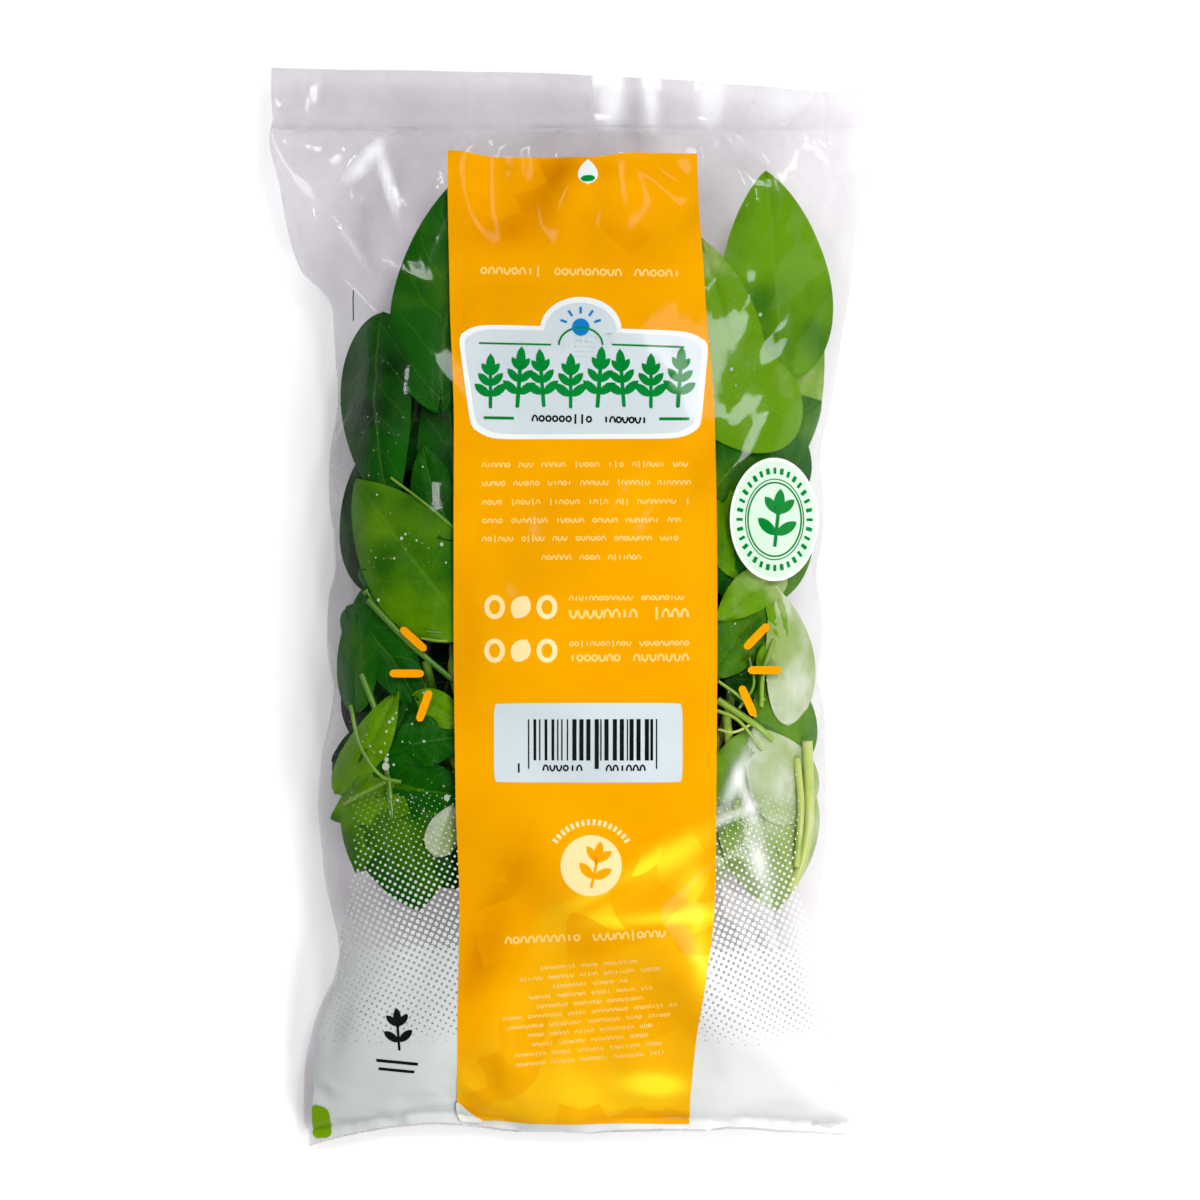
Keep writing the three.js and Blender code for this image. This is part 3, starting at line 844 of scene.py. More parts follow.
vein = sums(tree, "MAXIMUM", ramp(tree, offVein, 0.06, 0.0, 0.0, 0.55), ramp(tree, side, 0.06, 0.01))
vein = sums(tree, "MULTIPLY", vein, ramp(tree, side, 1.0, 0.7))
colour = blend(tree, sums(tree, "MULTIPLY", vein, 0.14), colour, screen(140, 190, 60))
pores = ramp(tree, cells(tree, own, 900.0), 0.0, 0.12)
bump = node(tree, "Bump", Strength=0.3, Distance=0.0002, Height=pores).outputs[0]
shine = node(tree, "BsdfPrincipled", Base_Color=colour, Roughness=0.35, Specular_IOR_Level=0.1, Normal=bump)
glow = node(tree, "BsdfTranslucent", Color=colour)
finished(tree, output, node(tree, "MixShader", Fac=0.15, i1=shine.outputs[0], i2=glow.outputs[0]))

leafParts, leafMaps, leafTonesAndLight, leafTops = [], [], [], []
for rows, columns, leaves in leafLayers:
    sheets, uv, tone = leafSheets(rows, columns, leaves)
    leafParts.append(thinSolids(sheets, leafForm["thickness"]))
    leafMaps.append(np.stack([uv, uv], 1).reshape(-1, 2))
    leafTonesAndLight.append(np.stack([tone, tone], 1).ravel())
    leafTops.append(sheets.reshape(-1, 3))
addPiece("leaves", *joined(leafParts), leafMaterial, "leaf", np.concatenate(leafMaps),
         {"tone": np.concatenate(leafTonesAndLight)})
print("leaves laid")

# stems

stems = {
    "sides": 8, "steps": 18, "clear": 0.5, "inside": 4, "loose": 34, "seed": 12,
    # a path of x, y and share of depth, then radius at its two ends and tone, the tone with painted light as
    # for the leaves
    "placed": [
        ([(-47.4, 1.8, 0.97), (-38, -8, 0.99), (-26.9, -17.4, 0.97)], 0.8, 0.7, 0.3),
        ([(-51.7, -23.4, 0.93), (-49.3, -33, 0.99), (-44.5, -40, 0.99), (-39.5, -41.5, 0.97)],
         0.45, 0.45, 0.5),
        ([(-43.3, -41.6, 0.99), (-49.4, -44.8, 0.98), (-53.5, -47.2, 0.94)], 0.45, 0.4, 0.5),
        ([(-34.6, -7.3, 0.98), (-30, -7.9, 0.99), (-26, -7.6, 0.96)], 0.3, 0.3, 0.6),
        ([(-33.5, -5.6, 0.98), (-30, -5.9, 0.98), (-26, -5.3, 0.96)], 0.25, 0.25, 0.45),
        ([(-42, 31, 0.97), (-34, 25, 0.98), (-27, 19, 0.96)], 0.3, 0.35, 0.6),
        ([(36, -22, 0.95), (45, -28, 0.99), (49, -31.6, 0.97)], 0.9, 0.7, 0.7),
        ([(36, -17.5, 0.95), (41.6, -21.6, 0.98), (45, -26, 0.96)], 0.4, 0.4, 0.9),
        ([(35.8, -24.5, 0.97), (41, -27, 0.985), (46.5, -34, 0.96)], 0.45, 0.4, 0.8),
        ([(36, -29, 0.96), (40, -29.6, 0.98), (45, -27.2, 0.96)], 0.35, 0.35, 0.9),
        ([(49.3, -7.8, 0.96), (46.8, -15.6, 0.98), (46.3, -23.5, 0.97)], 0.6, 0.55, 0.7),
        ([(43.5, -12, 0.95), (44.5, -18.5, 0.97), (41, -24, 0.95)], 0.35, 0.35, 0.6),
        ([(57.5, -32, 0.93), (58.6, -45, 0.95), (56.6, -60, 0.9), (53.5, -68, 0.8)], 1.3, 1.2, 1.02),
        ([(55, -36, 0.96), (56, -48, 0.97), (55, -62, 0.9)], 0.9, 0.8, 0.95),
        ([(-51.4, 76.3, 0.85), (-51.5, 73, 0.88), (-51.4, 69, 0.9)], 0.16, 0.18, 0.0),
        ([(-49, -16, 0.9), (-44, -30, 0.92), (-42, -48, 0.9), (-40, -66, 0.85)], 0.7, 0.9, 0.35),
        ([(38, -26, 0.9), (40, -44, 0.9), (42, -66, 0.85)], 1.1, 1.1, 0.8),
    ],
}


def alongPath(points, count):  # a curve through given points
    p = np.array(points, float)
    p = np.concatenate([2 * p[:1] - p[1:2], p, 2 * p[-1:] - p[-2:-1]])
    at = np.linspace(0, len(points) - 1.0001, count)
    k, t = at.astype(int), (at % 1)[:, None]
    a, b, c, d = p[k], p[k + 1], p[k + 2], p[k + 3]
    return 0.5 * (2 * b + (c - a) * t + (2 * a - 5 * b + 4 * c - d) * t**2 + (3 * b - a - 3 * c + d) * t**3)


def stemPaths():  # the placed stems, then loose ones that lie roughly along the bag inside it
    random = np.random.default_rng(stems["seed"])
    paths = list(stems["placed"])
    for _ in range(stems["loose"]):
        x, y, turn = random.uniform(-42, 47), random.uniform(-45, 25), random.normal(0, 0.3)
        share, length = random.uniform(0.02, 0.9), random.uniform(35, 70)
        ends = []
        for k in (0.5, 0.15, -0.2, -0.5):
            px = x - length * k * math.sin(turn) + random.normal(0, 2.5)
            py = max(y + length * k * math.cos(turn), -68)
            ends.append((px, py, min(max(share + random.normal(0, 0.06), 0.02), 0.95)))
        paths.append((ends, random.uniform(0.8, 1.3), 1.5, random.uniform(0.4, 0.95)))
    return paths


def addStems():
    parts, tonesAndLight = [], []
    for path, thin, thick, tone in stemPaths():
        line = alongPath(path, stems["steps"])
        radius = mix(thin, thick, np.linspace(0, 1, stems["steps"]))
        x, y, inside = line[:, 0], line[:, 1], stems["inside"]
        x[:] = np.clip(x, sideEdge("leftSide", y) + inside, sideEdge("rightSide", y) - inside)
        low = sample(backHeights, x, y) + radius + stems["clear"]
        high = sample(frontHeights, x, y) - radius - stems["clear"]
        line[:, 2] = mix(low, np.maximum(high, low), np.clip(line[:, 2], 0, 1))
        parts.append(tube(line, radius, stems["sides"]))
        tonesAndLight.append(np.full(len(parts[-1][0]), tone))
    addPiece("stems", *joined(parts), stemMaterial, "stem", values={"tone": np.concatenate(tonesAndLight)})


stemMaterial, tree, output = newMaterial("basilStem")
colour, own = plantColour(tree, (40, 92, 14), (92, 140, 30), (150, 184, 60), (190, 205, 110))
bump = node(tree, "Bump", Strength=0.3, Distance=0.0003, Height=noise(tree, own, 260.0)).outputs[0]
finished(tree, output, node(tree, "BsdfPrincipled", Base_Color=colour, Roughness=0.3, Normal=bump))
addStems()
print("stems laid")

# water drops that hang under the front film

drops = {
    "count": 170, "seed": 5, "least": 0.1, "spread": 0.4,
    # middle and reach of each patch of specks
    "areas": [((-44, 45), (8, 26)), ((-40, 12), (12, 14)), ((-44, -32), (12, 12)), ((-36, -45), (12, 8)),
              ((42, 62), (8, 16)), ((46, -22), (10, 20)), ((46, -44), (10, 10))],
    "placed": [(-43.1, -37.8, 1.0), (-42.9, -36.2, 0.6), (-42.6, -35.0, 0.35), (-41.2, -37.4, 0.35),
               (-28.5, -45.2, 0.8), (-42.2, -27.2, 0.4), (-42.9, -29.5, 0.35), (-43.3, -32.3, 0.3),
               (-46.8, -33.0, 0.25), (-40.6, -25, 0.25)],
}


def addDrops():  # each drop is a shallow bowl with its flat side to the film
    random = np.random.default_rng(drops["seed"])
    area = np.array(drops["areas"])[random.integers(0, len(drops["areas"]), drops["count"])]
    middle = area[:, 0] + random.normal(0, 0.45, (drops["count"], 2)) * area[:, 1]
    radius = drops["least"] + drops["spread"] * random.random(drops["count"]) ** 4
    placed = np.array(drops["placed"])
    middle, radius = np.concatenate([middle, placed[:, :2]]), np.concatenate([radius, placed[:, 2]])
    radius = radius[:, None, None]
    angle = np.linspace(0, 2 * math.pi, 9)[:-1]
    rim = np.array([1.0, 0.92, 0.62])[None, :, None] * radius
    x = middle[:, 0, None, None] + rim * np.cos(angle) * 0.9
    y = middle[:, 1, None, None] + rim * np.sin(angle)
    top = sample(frontHeights, *middle.T)[:, None, None] - 0.2
    z = top - np.array([0, 0.3, 0.55])[None, :, None] * radius + 0 * x
    caps = np.stack([np.arange(8), np.arange(8)[::-1] + 16])
    blocks = [repeated(f, 24, len(middle)) for f in (gridFaces(3, 8, True)[:, ::-1], caps)]
    addPiece("drops", np.stack([x, y, z], -1).reshape(-1, 3), blocks, waterMaterial)


waterMaterial, tree, output = newMaterial("waterDrops")
bead = noise(tree, ownPlace(tree), 900.0)
wobble = node(tree, "Bump", Strength=0.4, Distance=0.0002, Height=bead).outputs[0]
facing = node(tree, "LayerWeight", Blend=0.5, Normal=wobble).outputs["Facing"]
wet = node(tree, "BsdfTransparent", Color=(0.93, 0.95, 0.93, 1))
glint = node(tree, "BsdfPrincipled", Base_Color=screen(218, 228, 208), Roughness=0.1, Normal=wobble)
share = ramp(tree, facing, 0.0, 0.8, 0.5, 0.95)
finished(tree, output, node(tree, "MixShader", Fac=share, i1=wet.outputs[0], i2=glint.outputs[0]))
addDrops()
print("drops placed")

# the print: closed thin shapes of ink that follow the film

ink = {"thickness": 0.04, "field": 0.06, "band": 0.12, "first": 0.19, "second": 0.26, "third": 0.33}
band = {
    # edges as (y, x), then the top and foot edges as (x, y)
    "left": [(-124.8, -26.7), (-94.4, -26.2), (-70.3, -25.7), (-46.3, -26.4), (1.8, -26.9), (42.7, -26.9),
             (73.9, -28.1), (110, -28.8)],
    "right": [(-125.6, 29.6), (-106.4, 30.8), (-89.5, 33.2), (-70.3, 35.3), (-41.5, 35.6), (1.8, 35.8),
              (42.7, 35.3), (73.9, 33.2), (109.5, 31.3)],
    "top": [(-29, 110.0), (-16, 108.4), (5, 108.3), (17, 109.5), (31, 109.3)],
    "foot": [(-27, -124.4), (30, -125.4)],
    # painted lights and shades on the band, such as a glow at the lower right and shade in its folds and at
    # its top: x, y, reach across and along, heading from +Y, strength
    "lights": [(22, -61, 3.4, 17, 58, 0.85), (31, -66, 4, 5, 0, 0.5), (24, -74, 1.8, 14, 87, 0.8),
               (32, -83, 2.5, 9, -8, 0.7), (12, -68, 1.6, 11, 60, -0.4), (14, -79, 1.6, 12, 74, -0.35),
               (-19, -80, 6.5, 21, 21, -0.8), (-9, 97, 6, 11, 35, -0.6), (1, 106, 34, 4, 0, -0.35),
               (-24, 60, 3, 14, 0, -0.3), (21, -115, 6, 2.2, 4, 0.8), (-16, 90, 12, 3, -5, -0.2),
               (0, 92, 40, 17, 0, -0.35), (30, 20, 5, 60, 0, 0.12), (5, -118, 26, 6, 0, 0.12)],
}


def bars(specs, columns, rows, cut=0.04):  # rectangles with soft corners: x, y, width, height, turn
    x, y, width, height, turn = singly(specs, 5)
    a, b = unitGrid(columns, rows)
    px = a * (1 - cut * b**8) * width / 2
    py = b * (1 - cut * a**8) * height / 2
    turn = np.radians(turn)
    return x + px * np.cos(turn) - py * np.sin(turn), y + px * np.sin(turn) + py * np.cos(turn)


def discs(specs, columns, rows):  # ellipses: x, y, width, height
    x, y, width, height = singly(specs, 4)
    a, b = unitGrid(columns, rows)
    return x + a * np.sqrt(1 - b * b / 2) * width / 2, y + b * np.sqrt(1 - a * a / 2) * height / 2


def petals(specs, columns, rows, blunt=0.0):  # pointed ovals: x, y, length, width, heading from +Y
    x, y, length, width, heading = singly(specs, 5)
    a, b = unitGrid(columns, rows)
    px = a * width / 2 * ((1 - b * b) ** 0.75 * (1 - blunt * b) + 0.02)
    py = b * length / 2
    turn = np.radians(heading)
    return x + px * np.cos(turn) + py * np.sin(turn), y - px * np.sin(turn) + py * np.cos(turn)


def arcs(specs, columns, rows):  # clockwise parts of an oval line: x, y, both radii, start, end, line width
    x, y, wide, tall, start, end, line = singly(specs, 7)
    a, b = unitGrid(columns, rows, 0)
    angle = np.radians(mix(start, end, a))
    return x + np.cos(angle) * (wide + b * line / 2), y + np.sin(angle) * (tall + b * line / 2)


def quarters(specs, columns, rows, cut=0.1):
    # rounded shapes between four corners, from the lower left round by way of the lower right
    corners = np.array(specs, float)
    a, b = unitGrid(columns, rows)
    a, b = a * (1 - cut * np.abs(b) ** 12), b * (1 - cut * np.abs(a) ** 12)
    shares = np.stack([(1 - a) * (1 - b), (1 + a) * (1 - b), (1 + a) * (1 + b), (1 - a) * (1 + b)]) / 4
    return tuple(np.einsum("nc,cij->nij", corners[..., k], shares) for k in (0, 1))


def addInk(name, material, lift, batches, values=None):
    parts = [thinSolids(onFilm(*batch, lift), ink["thickness"]) for batch in batches]
    return addPiece(name, *joined(parts), material, values=values)


def inkMaterial(name, colour, other, facets=0.35, ripples=0.6, alpha=1.0, lights=None, folds=0.0, coat=0.2):
    # two near shades in soft clouds under the film's gloss, with a painted shade and a painted light laid on
    # by the piece's light attribute, which varies from fold to fold
    material, tree, output = newMaterial(name)
    own = ownPlace(tree)
    shade = blend(tree, ramp(tree, noise(tree, own, 45.0, 4.0), 0.3, 0.7), screen(*colour), screen(*other))
    if lights:
        bent = moved(tree, own, noise(tree, own, 30.0, 1.0, "Color"), (0.04, 0.03, 0.0))
        fold = node(tree, "TexVoronoi", Vector=bent, Scale=95.0).outputs["Color"]
        fold = node(tree, "SeparateXYZ", Vector=fold).outputs[0]
        fold = ramp(tree, fold, 0.0, 1.0, 1.0 - folds, 1.0 + folds)
        light = sums(tree, "MULTIPLY", attribute(tree, "light"), fold)
        shade = blend(tree, ramp(tree, light, -1.0, 0.0, 1.0, 0.0), shade, screen(*lights[0]))
        shade = blend(tree, ramp(tree, light, 0.0, 1.0), shade, screen(*lights[1]))
    skin = place(tree, crinkle, Facets=facets, Ripples=ripples)
    shine = node(tree, "BsdfPrincipled", Base_Color=shade, Roughness=0.5, Specular_IOR_Level=0.0,
                 Coat_Weight=coat, Coat_Roughness=0.07, Alpha=alpha, Normal=skin["Normal"],
                 Coat_Normal=skin["Normal"])
    finished(tree, output, shine)
    return material


# the band's last two colours are its painted shade and painted light
bandInk = inkMaterial("bandInk", (232, 156, 1), (238, 163, 1), folds=0.35, coat=0.055,
                      lights=((204, 122, 0), (255, 226, 40)))
orangeInk = inkMaterial("orangeInk", (240, 152, 4), (246, 160, 4), coat=0.08)
creamInk = inkMaterial("creamInk", (250, 226, 168), (246, 218, 156))
softInk = inkMaterial("softInk", (250, 208, 116), (247, 202, 106))
paleInk = inkMaterial("paleInk", (206, 216, 221), (198, 209, 214))
whiteInk = inkMaterial("whiteInk", (236, 240, 240), (226, 232, 232))
greenInk = inkMaterial("greenInk", (0, 122, 44), (6, 132, 52))
blueInk = inkMaterial("blueInk", (10, 110, 178), (20, 120, 186))
blackInk = inkMaterial("blackInk", (16, 18, 18), (26, 28, 28))
mintInk = inkMaterial("mintInk", (202, 226, 206), (212, 232, 214))
cornerInk = inkMaterial("cornerInk", (104, 146, 8), (118, 156, 14))
# the white ink's last two colours are its painted shade and painted light
fieldInk = inkMaterial("fieldInk", (222, 227, 225), (229, 234, 232), 0.8, 1.0, 0.85,
                       lights=((206, 211, 210), (243, 246, 245)))

# where leaves lie under the print, so that the band is painted brighter where nothing is behind it (painted
# light from behind)
shadow = np.zeros((len(planY), len(planX)))
spots = np.concatenate(leafTops)
shadow[np.round((spots[:, 1] - plan["foot"]) / plan["step"]).astype(int),
       np.round((spots[:, 0] - plan["left"]) / plan["step"]).astype(int)] = 1
shadow = spread(spread(shadow, 3, np.max), 7, np.mean)


def addBand():
    a, b = np.meshgrid(np.linspace(0, 1, 56), np.linspace(0, 1, 236))
    y = mix(-125.0, 109.0, b)
    x = mix(curveThrough(band["left"], y), curveThrough(band["right"], y), a)
    y = y + smooth(0.9, 1, b) * (curveThrough(band["top"], x) - 109)
    y = y + smooth(0.1, 0, b) * (curveThrough(band["foot"], x) + 125)
    # painted light: brighter where no leaves lie behind the band, plus the band's painted lights and shades
    light = 0.22 * (1 - sample(shadow, x, y)) + softPatches(band["lights"], x, y)
    addInk("band", bandInk, ink["band"], [(x[None], y[None])], {"light": np.stack([light, light])})


def sprig(x, y, height, lean, pairs, size):  # a stalk with pairs of leaves and one at its tip
    tilt = math.sin(math.radians(lean))
    stalk = [(x + tilt * height * 0.4, y + height * 0.38, height * 0.07, height * 0.8, -lean)]
    leaves = [(x + tilt * height * 0.85, y + height * 0.85, size * 1.1, size * 0.42, lean)]
    for k in range(pairs):
        up = height * (0.22 + 0.42 * k / max(pairs - 1, 1))
        reach = size * (0.95 - 0.12 * k) / 2
        for side in (-1, 1):
            heading = lean + side * (52 - 8 * k)
            turn = math.radians(heading)
            leaves.append((x + tilt * up + math.sin(turn) * reach, y + up + math.cos(turn) * reach,
                           reach * 2, reach * 0.86, heading))
    return stalk, leaves


def addPlate():
    # a pale plate with a row of sprigs over a ground line, and a small sun on its hump
    outer = [[(-22.5, 40.0), (31.6, 40.2), (34.1, 65.9), (-26.4, 67.9)]]
    inner = [[(-21.3, 41.2), (30.4, 41.4), (32.7, 64.8), (-25.1, 66.7)]]
    outerHump, innerHump = [(3.3, 66.5, 19.4, 15.6)], [(3.3, 66.0, 17.2, 13.6)]
    for name, colour, lift, shape, hump in (("plateEdge", whiteInk, "first", outer, outerHump),
                                            ("plate", paleInk, "second", inner, innerHump)):
        addInk(name, colour, ink[lift], [quarters(shape, 42, 22, 0.09), discs(hump, 16, 14)])
    stalks, leaves = [], []
    for k, x in enumerate(np.linspace(-18.2, 26.4, 8)):
        height = 12.0 + 0.9 * ((k * 5) % 3)
        stalk, more = sprig(x, 47.6 + 0.15 * (k % 3), height, 5 * math.sin(k * 2.1), 3, 5.2)
        stalks += stalk
        leaves += more
    rules = [(-12.4, 62.9, 18, 0.45, -1.5), (19.4, 62.4, 18, 0.45, -2), (-16.2, 45.1, 7.5, 0.7, -1),
             (25.6, 44.9, 7.5, 0.7, 0)]
    mound = arcs([(3.3, 62.6, 5.2, 4.2, 180, 0, 0.5)], 20, 2)
    shapes = [bars(stalks, 3, 9), petals(leaves, 3, 6), bars(rules, 14, 2), mound]
    addInk("plateSprigs", greenInk, ink["third"], shapes)
    rays = [(3.3 + math.cos(t) * 4.3, 67.0 + math.sin(t) * 4.0, 1.7, 0.6, math.degrees(t))
            for t in np.linspace(0.35, 2.8, 5)]
    addInk("plateSun", blueInk, ink["third"], [discs([(3.3, 66.9, 4.2, 4.2)], 7, 7), bars(rays, 3, 2)])
    random = np.random.default_rng(9)
    rows = words(-8.4, 19.2, 44.8, 2.3, -1, random, 11, 15)
    addInk("plateMarks", blackInk, ink["third"], marks(rows, random))


def words(x0, x1, y, height, tilt, random, least=3.0, most=9.5):  # a row of strokes as long as words
    out, x, slope = [], x0, math.tan(math.radians(tilt))
    while x < x1 - 1.5:
        wide = min(random.uniform(least, most), x1 - x)
        out.append((x + wide / 2, y + slope * (x + wide / 2 - (x0 + x1) / 2), wide, height, tilt))
        x += wide + height * 1.1
    return out


def marks(rows, random):  # fills each stroke with a run of small waves up and down, rings and short ticks
    rings, ticks = [], []
    for x, y, wide, height, tilt in rows:
        count, slope = max(1, round(wide / (height * 0.7))), math.tan(math.radians(tilt))
        for step in (np.arange(count) + 0.5) / count * wide - wide / 2:
            kind = random.integers(0, 5)
            line, place = height * 0.2, (x + step, y + slope * step)
            if kind < 2:
                rings.append((place[0], place[1] - height * 0.3, height * 0.26, height * 0.6, 180, 0, line))
            elif kind == 2:
                rings.append((place[0], place[1] + height * 0.3, height * 0.26, height * 0.6, 0, -180, line))
            elif kind == 3:
                rings.append((*place, height * 0.25, height * 0.28, 360, 0, line))
            else:
                ticks.append((*place, height * 0.2, height * random.choice([0.6, 1.0]), tilt))
    return [arcs(rings, 9, 2), bars(ticks, 2, 2, 0)]


def addLines():
    # lines of small marks, two rows of rings and leaves, the disc with its ticks, and small lines at the foot
    random = np.random.default_rng(3)
    rows = words(-20.9, 27.2, 80.4, 2.6, -1, random, 14, 24)
    for y, x0, x1 in ((34.0, -20.2, 29.6), (29.6, -20.2, 29.6), (25.1, -20.2, 29.6), (20.7, -20.2, 29.6),
                      (16.4, -20.2, 29.6), (11.9, -6, 20)):
        rows += words(x0, x1, y, 1.7, 0.3, random)
    for y, height in ((2.3, 1.7), (-1.4, 3.1), (-8.5, 1.7), (-11.9, 2.6)):
        rows += words(0.5, 29.1, y, height, 0.3, random, 8, 18)
    for y, half in zip(np.linspace(-85.4, -108.6, 11), (12, 17, 9, 15, 13, 21, 20, 15, 14, 18, 18)):
        rows += words(5.5 - half, 5.5 + half, y, 1.25, 5.0, random, 3.5, 9)
    rows += words(-14.9, 23.6, -78.7, 2.6, 3.0, random, 14, 22)
    rings = [(x, y, 1.9, 2.3, 360, 0, 1.2) for y in (0.1, -10.2) for x in (-17.1, -4.7)]
    buds = [(-10.9, y, 6.0, 4.6, 30) for y in (0.1, -10.2)]
    ticks = [(5.8 + math.cos(t) * 10.4, -61.4 + math.sin(t) * 10.4, 1.5, 0.75, math.degrees(t))
             for t in np.radians(np.linspace(35, 145, 16))]
    disc = discs([(5.8, -61.4, 14.6, 14.6)], 15, 15)
    shapes = [arcs(rings, 17, 3), petals(buds, 7, 9), bars(ticks, 3, 2), disc]
    addInk("creamPrint", creamInk, ink["first"], shapes)
    addInk("softPrint", softInk, ink["first"], marks(rows, random))
    stalk, leaves = sprig(5.8, -66.6, 9.6, 12, 2, 5.2)
    addInk("discSprig", orangeInk, ink["second"], [bars(stalk, 3, 9), petals(leaves, 5, 9)])


def addBarcode():  # a pale panel with upright bars of uneven width
    random = np.random.default_rng(14)
    x, upright = -9.2, []
    while x < 22.2:
        wide = 0.33 * random.integers(1, 4)
        guard = x < -8 or abs(x - 6.5) < 0.9 or x > 21
        upright.append((x + wide / 2, -32.4 if guard else -31.4, wide, 11.8 if guard else 9.8, 0))
        x += wide + 0.33 * random.integers(1, 4)
    under = [(-11.4, -38.1, 1.6, 2.2, 0), (-1, -38.1, 9.6, 2.2, 0), (14, -38.1, 9.6, 2.2, 0)]
    addInk("barPanel", paleInk, ink["first"], [bars([(5.1, -32.1, 44.8, 18.9, 0)], 40, 18, 0.02)])
    addInk("barLines", blackInk, ink["second"], [bars(upright, 2, 12, 0)] + marks(under, random))


def addBadge():  # an oval badge with two ring lines, a ring of ticks and a sprig
    x, y, wide, tall = 49.5, 21.0, 10.7, 14.7
    ticks = []
    for k, t in enumerate(np.radians(np.linspace(0, 360, 33)[:-1])):
        turn = math.degrees(math.atan2(math.sin(t) * tall, math.cos(t) * wide))
        spot = x + math.cos(t) * wide * 0.79, y + math.sin(t) * tall * 0.79
        ticks.append((*spot, 1.5, 0.7 + 0.2 * (k % 2), turn))
    rings = [(x, y, wide * size, tall * size, 360, 0, line) for size, line in ((0.60, 0.4), (0.655, 0.25))]
    stalk, leaves = sprig(x, y - 6.4, 12.2, 6, 2, 6.2)
    addInk("badgeEdge", whiteInk, ink["field"] + 0.02, [discs([(x, y, wide * 2, tall * 2)], 24, 30)])
    addInk("badge", mintInk, ink["band"] + 0.02, [discs([(x, y, wide * 2 - 1.5, tall * 2 - 1.5)], 24, 30)])
    shapes = [bars(ticks, 3, 3), arcs(rings, 48, 2), bars(stalk, 3, 9), petals(leaves, 5, 9)]
    addInk("badgeSprig", greenInk, ink["first"] + 0.02, shapes)


def addSmallPrint():
    # short orange dashes, the window in the band, the small dark sprig, and the green corner
    dashes = [(-36.5, -7.5, 8, 1.9, -42), (-38.1, -15.7, 8.2, 1.9, 0), (-33.9, -23.4, 7.8, 1.9, 70),
              (45.2, -6.9, 8, 1.9, 46), (47.1, -14.9, 8, 1.9, 0), (43, -22.2, 7.8, 1.9, -66)]
    addInk("dashes", orangeInk, ink["field"], [bars(dashes, 9, 4, 0.12)])
    # the window is printed, not cut: white ink for the clear film and the highlight seen through it (partly
    # painted highlight), and a green bar for the leaf behind it
    addInk("windowClearAndGlare", whiteInk, ink["first"], [petals([(5.0, 104.7, 6.0, 4.6, 0)], 7, 9, 0.35)])
    addInk("windowLeaf", greenInk, ink["second"], [bars([(5.0, 103.1, 3.4, 1.5, 4)], 5, 4, 0.25)])
    stalk, leaves = sprig(-40.3, -106.4, 9.0, -4, 2, 4.6)
    tiny = [(-40.9, -109.4, 10.5, 0.75, -5), (-41.1, -111.4, 9.0, 0.7, -5)]
    addInk("darkSprig", blackInk, ink["band"], [bars(stalk, 3, 7), petals(leaves, 5, 9), bars(tiny, 8, 2)])
    corner = [[(-61.9, -128.9), (-57.2, -128.6), (-57.6, -121.0), (-61.6, -120.0)]]
    addInk("cornerPatch", cornerInk, ink["band"], [quarters(corner, 6, 10, 0.12)])
    fold = [[(-26.8, -124.8), (-19.8, -124.9), (-23.8, -121.2), (-27.0, -118.6)]]
    addInk("cornerFold", fieldInk, ink["second"], [quarters(fold, 7, 7, 0.12)])


# the white foot of the bag: dots that grow downwards, then white with shrinking holes, then plain white

dots = {"pitch": 1.43, "turn": -27, "top": -43.5, "merge": -82, "plain": -103.5, "foot": -129.4,
        "size": [(-103, 0.72), (-82, 0.70), (-79.9, 0.62), (-66.7, 0.42), (-43, 0.13)],
        "hole": [(-103.5, 0.05), (-100, 0.26), (-90, 0.36), (-82, 0.40)]}
frontWidth = np.linalg.norm(np.diff(frontLines, axis=1), axis=-1).sum(1)


def widthAt(v):
    return np.interp((v - bottomY) / bag["length"] * (filmRows - 1), np.arange(filmRows), frontWidth)


def onFilmFlat(u, v, lift):  # a point u across from the middle and v along, measured on the film itself
    column = np.clip((u / widthAt(v) + 0.5) * filmHalf, 0.3, filmHalf - 0.3)
    return filmAt((v - bottomY) / bag["length"] * (filmRows - 1), column, lift)


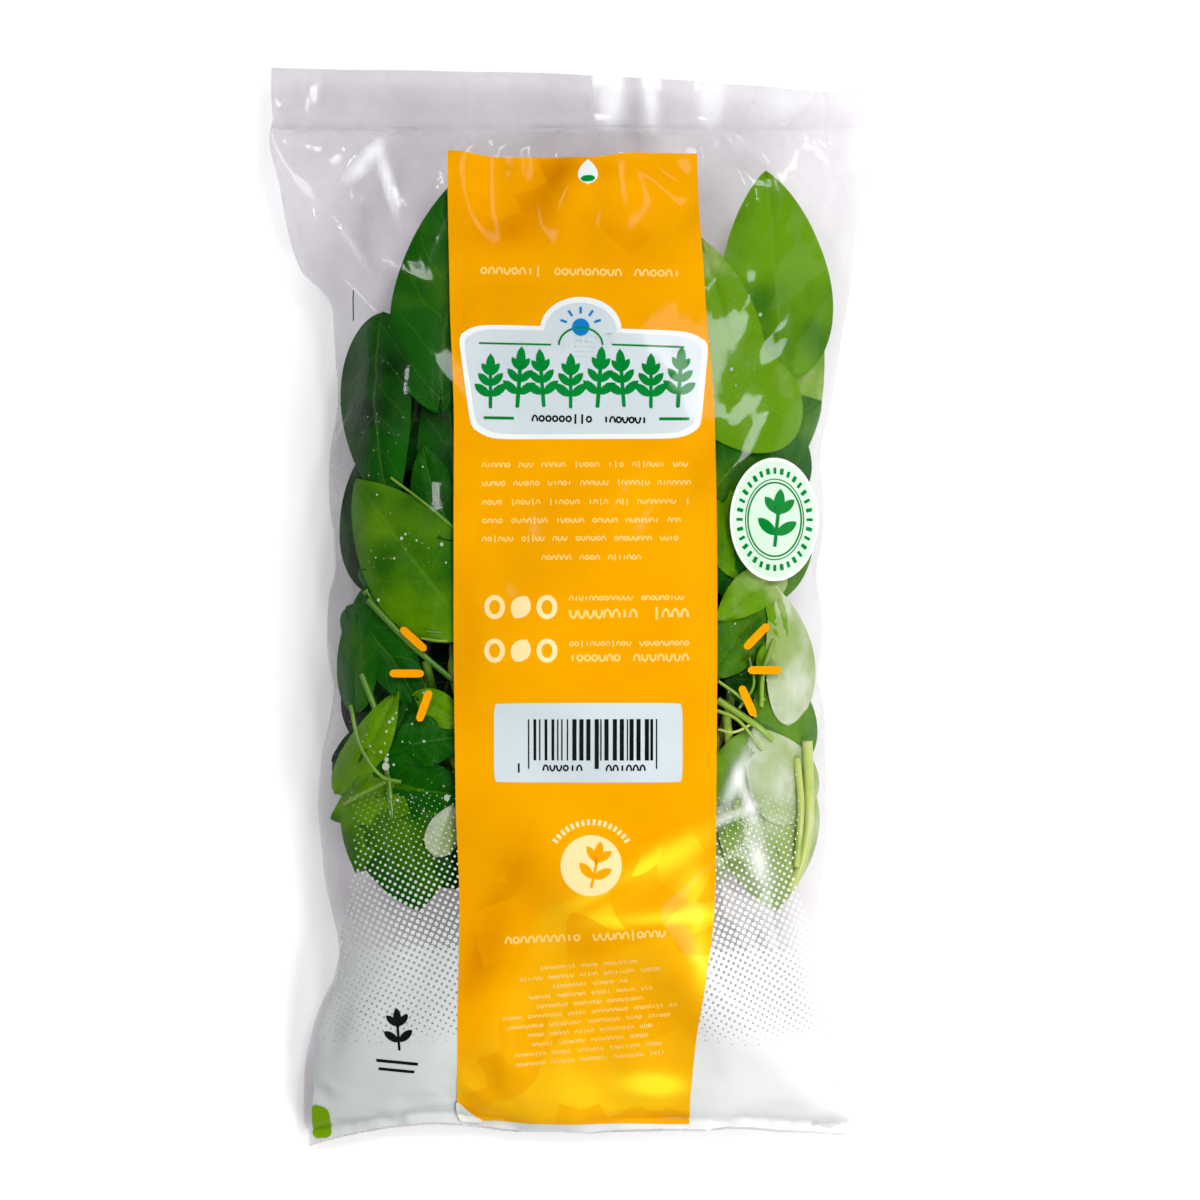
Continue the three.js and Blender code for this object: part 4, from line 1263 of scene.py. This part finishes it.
def lattice(low, high, shift):  # points of the turned square grid between two heights, clear of the band
    reach = int(90 / dots["pitch"])
    turn = math.radians(dots["turn"])
    i, j = np.meshgrid(np.arange(-reach, reach) + shift, np.arange(-reach, reach) + shift)
    u = dots["pitch"] * (i * math.cos(turn) - j * math.sin(turn))
    v = dots["pitch"] * (i * math.sin(turn) + j * math.cos(turn)) - 75
    inside = (v > low) & (v <= high)
    u, v = u[inside], v[inside]
    x = onFilmFlat(u, v, 0)[:, 0]
    keep = np.abs(u) < widthAt(v) / 2 - mix(2.5, 15, smooth(-86, -58, v))
    keep &= (x < curveThrough(band["left"], v) + 0.8) | (x > curveThrough(band["right"], v) - 0.8)
    keep &= u > 4.6 - widthAt(v) / 2
    return u[keep, None], v[keep, None]


def addField(name, points, blocks):  # painted shade and light: the white ink is greyer on the left, away from the window, and brighter on the right
    addPiece(name, points, blocks, fieldInk, values={"light": np.clip(points[:, 0] / 55 + 0.1, -1, 1)})


def addDots():
    # round dots, then square cells of the same grid with a round hole in each
    corner = np.linspace(0, 2 * math.pi, 9)[:-1]
    u, v = lattice(dots["merge"], dots["top"], 0.0)
    radius = curveThrough(dots["size"], v)
    loops = onFilmFlat(u + radius * np.cos(corner), v + radius * np.sin(corner), ink["field"])
    addField("dots", *prisms(loops, ink["thickness"]))
    u, v = lattice(dots["plain"], dots["merge"] + 0.7, 0.5)
    radius, turn = curveThrough(dots["hole"], v), math.radians(dots["turn"])
    inner = onFilmFlat(u + radius * np.cos(corner + turn), v + radius * np.sin(corner + turn), ink["field"])
    a = np.array([1, 1, 0, -1, -1, -1, 0, 1]) * dots["pitch"] / 2
    b = np.array([0, 1, 1, 1, 0, -1, -1, -1]) * dots["pitch"] / 2
    u, v = u + a * math.cos(turn) - b * math.sin(turn), v + a * math.sin(turn) + b * math.cos(turn)
    outer = onFilmFlat(u, v, ink["field"])
    addField("netting", *holedPrisms(outer, inner, ink["thickness"]))


def addFoot():
    a, v = np.meshgrid(np.linspace(0, 1, 126), np.linspace(dots["foot"], dots["plain"] + 0.4, 30))
    sheet = onFilmFlat(mix(4.6 - widthAt(v) / 2, widthAt(v) / 2 - 0.8, a), v, ink["field"])
    addField("foot", *thinSolids(sheet[None], ink["thickness"]))


addBand()
addPlate()
addLines()
addBarcode()
addBadge()
addSmallPrint()
addDots()
addFoot()
print("print laid")
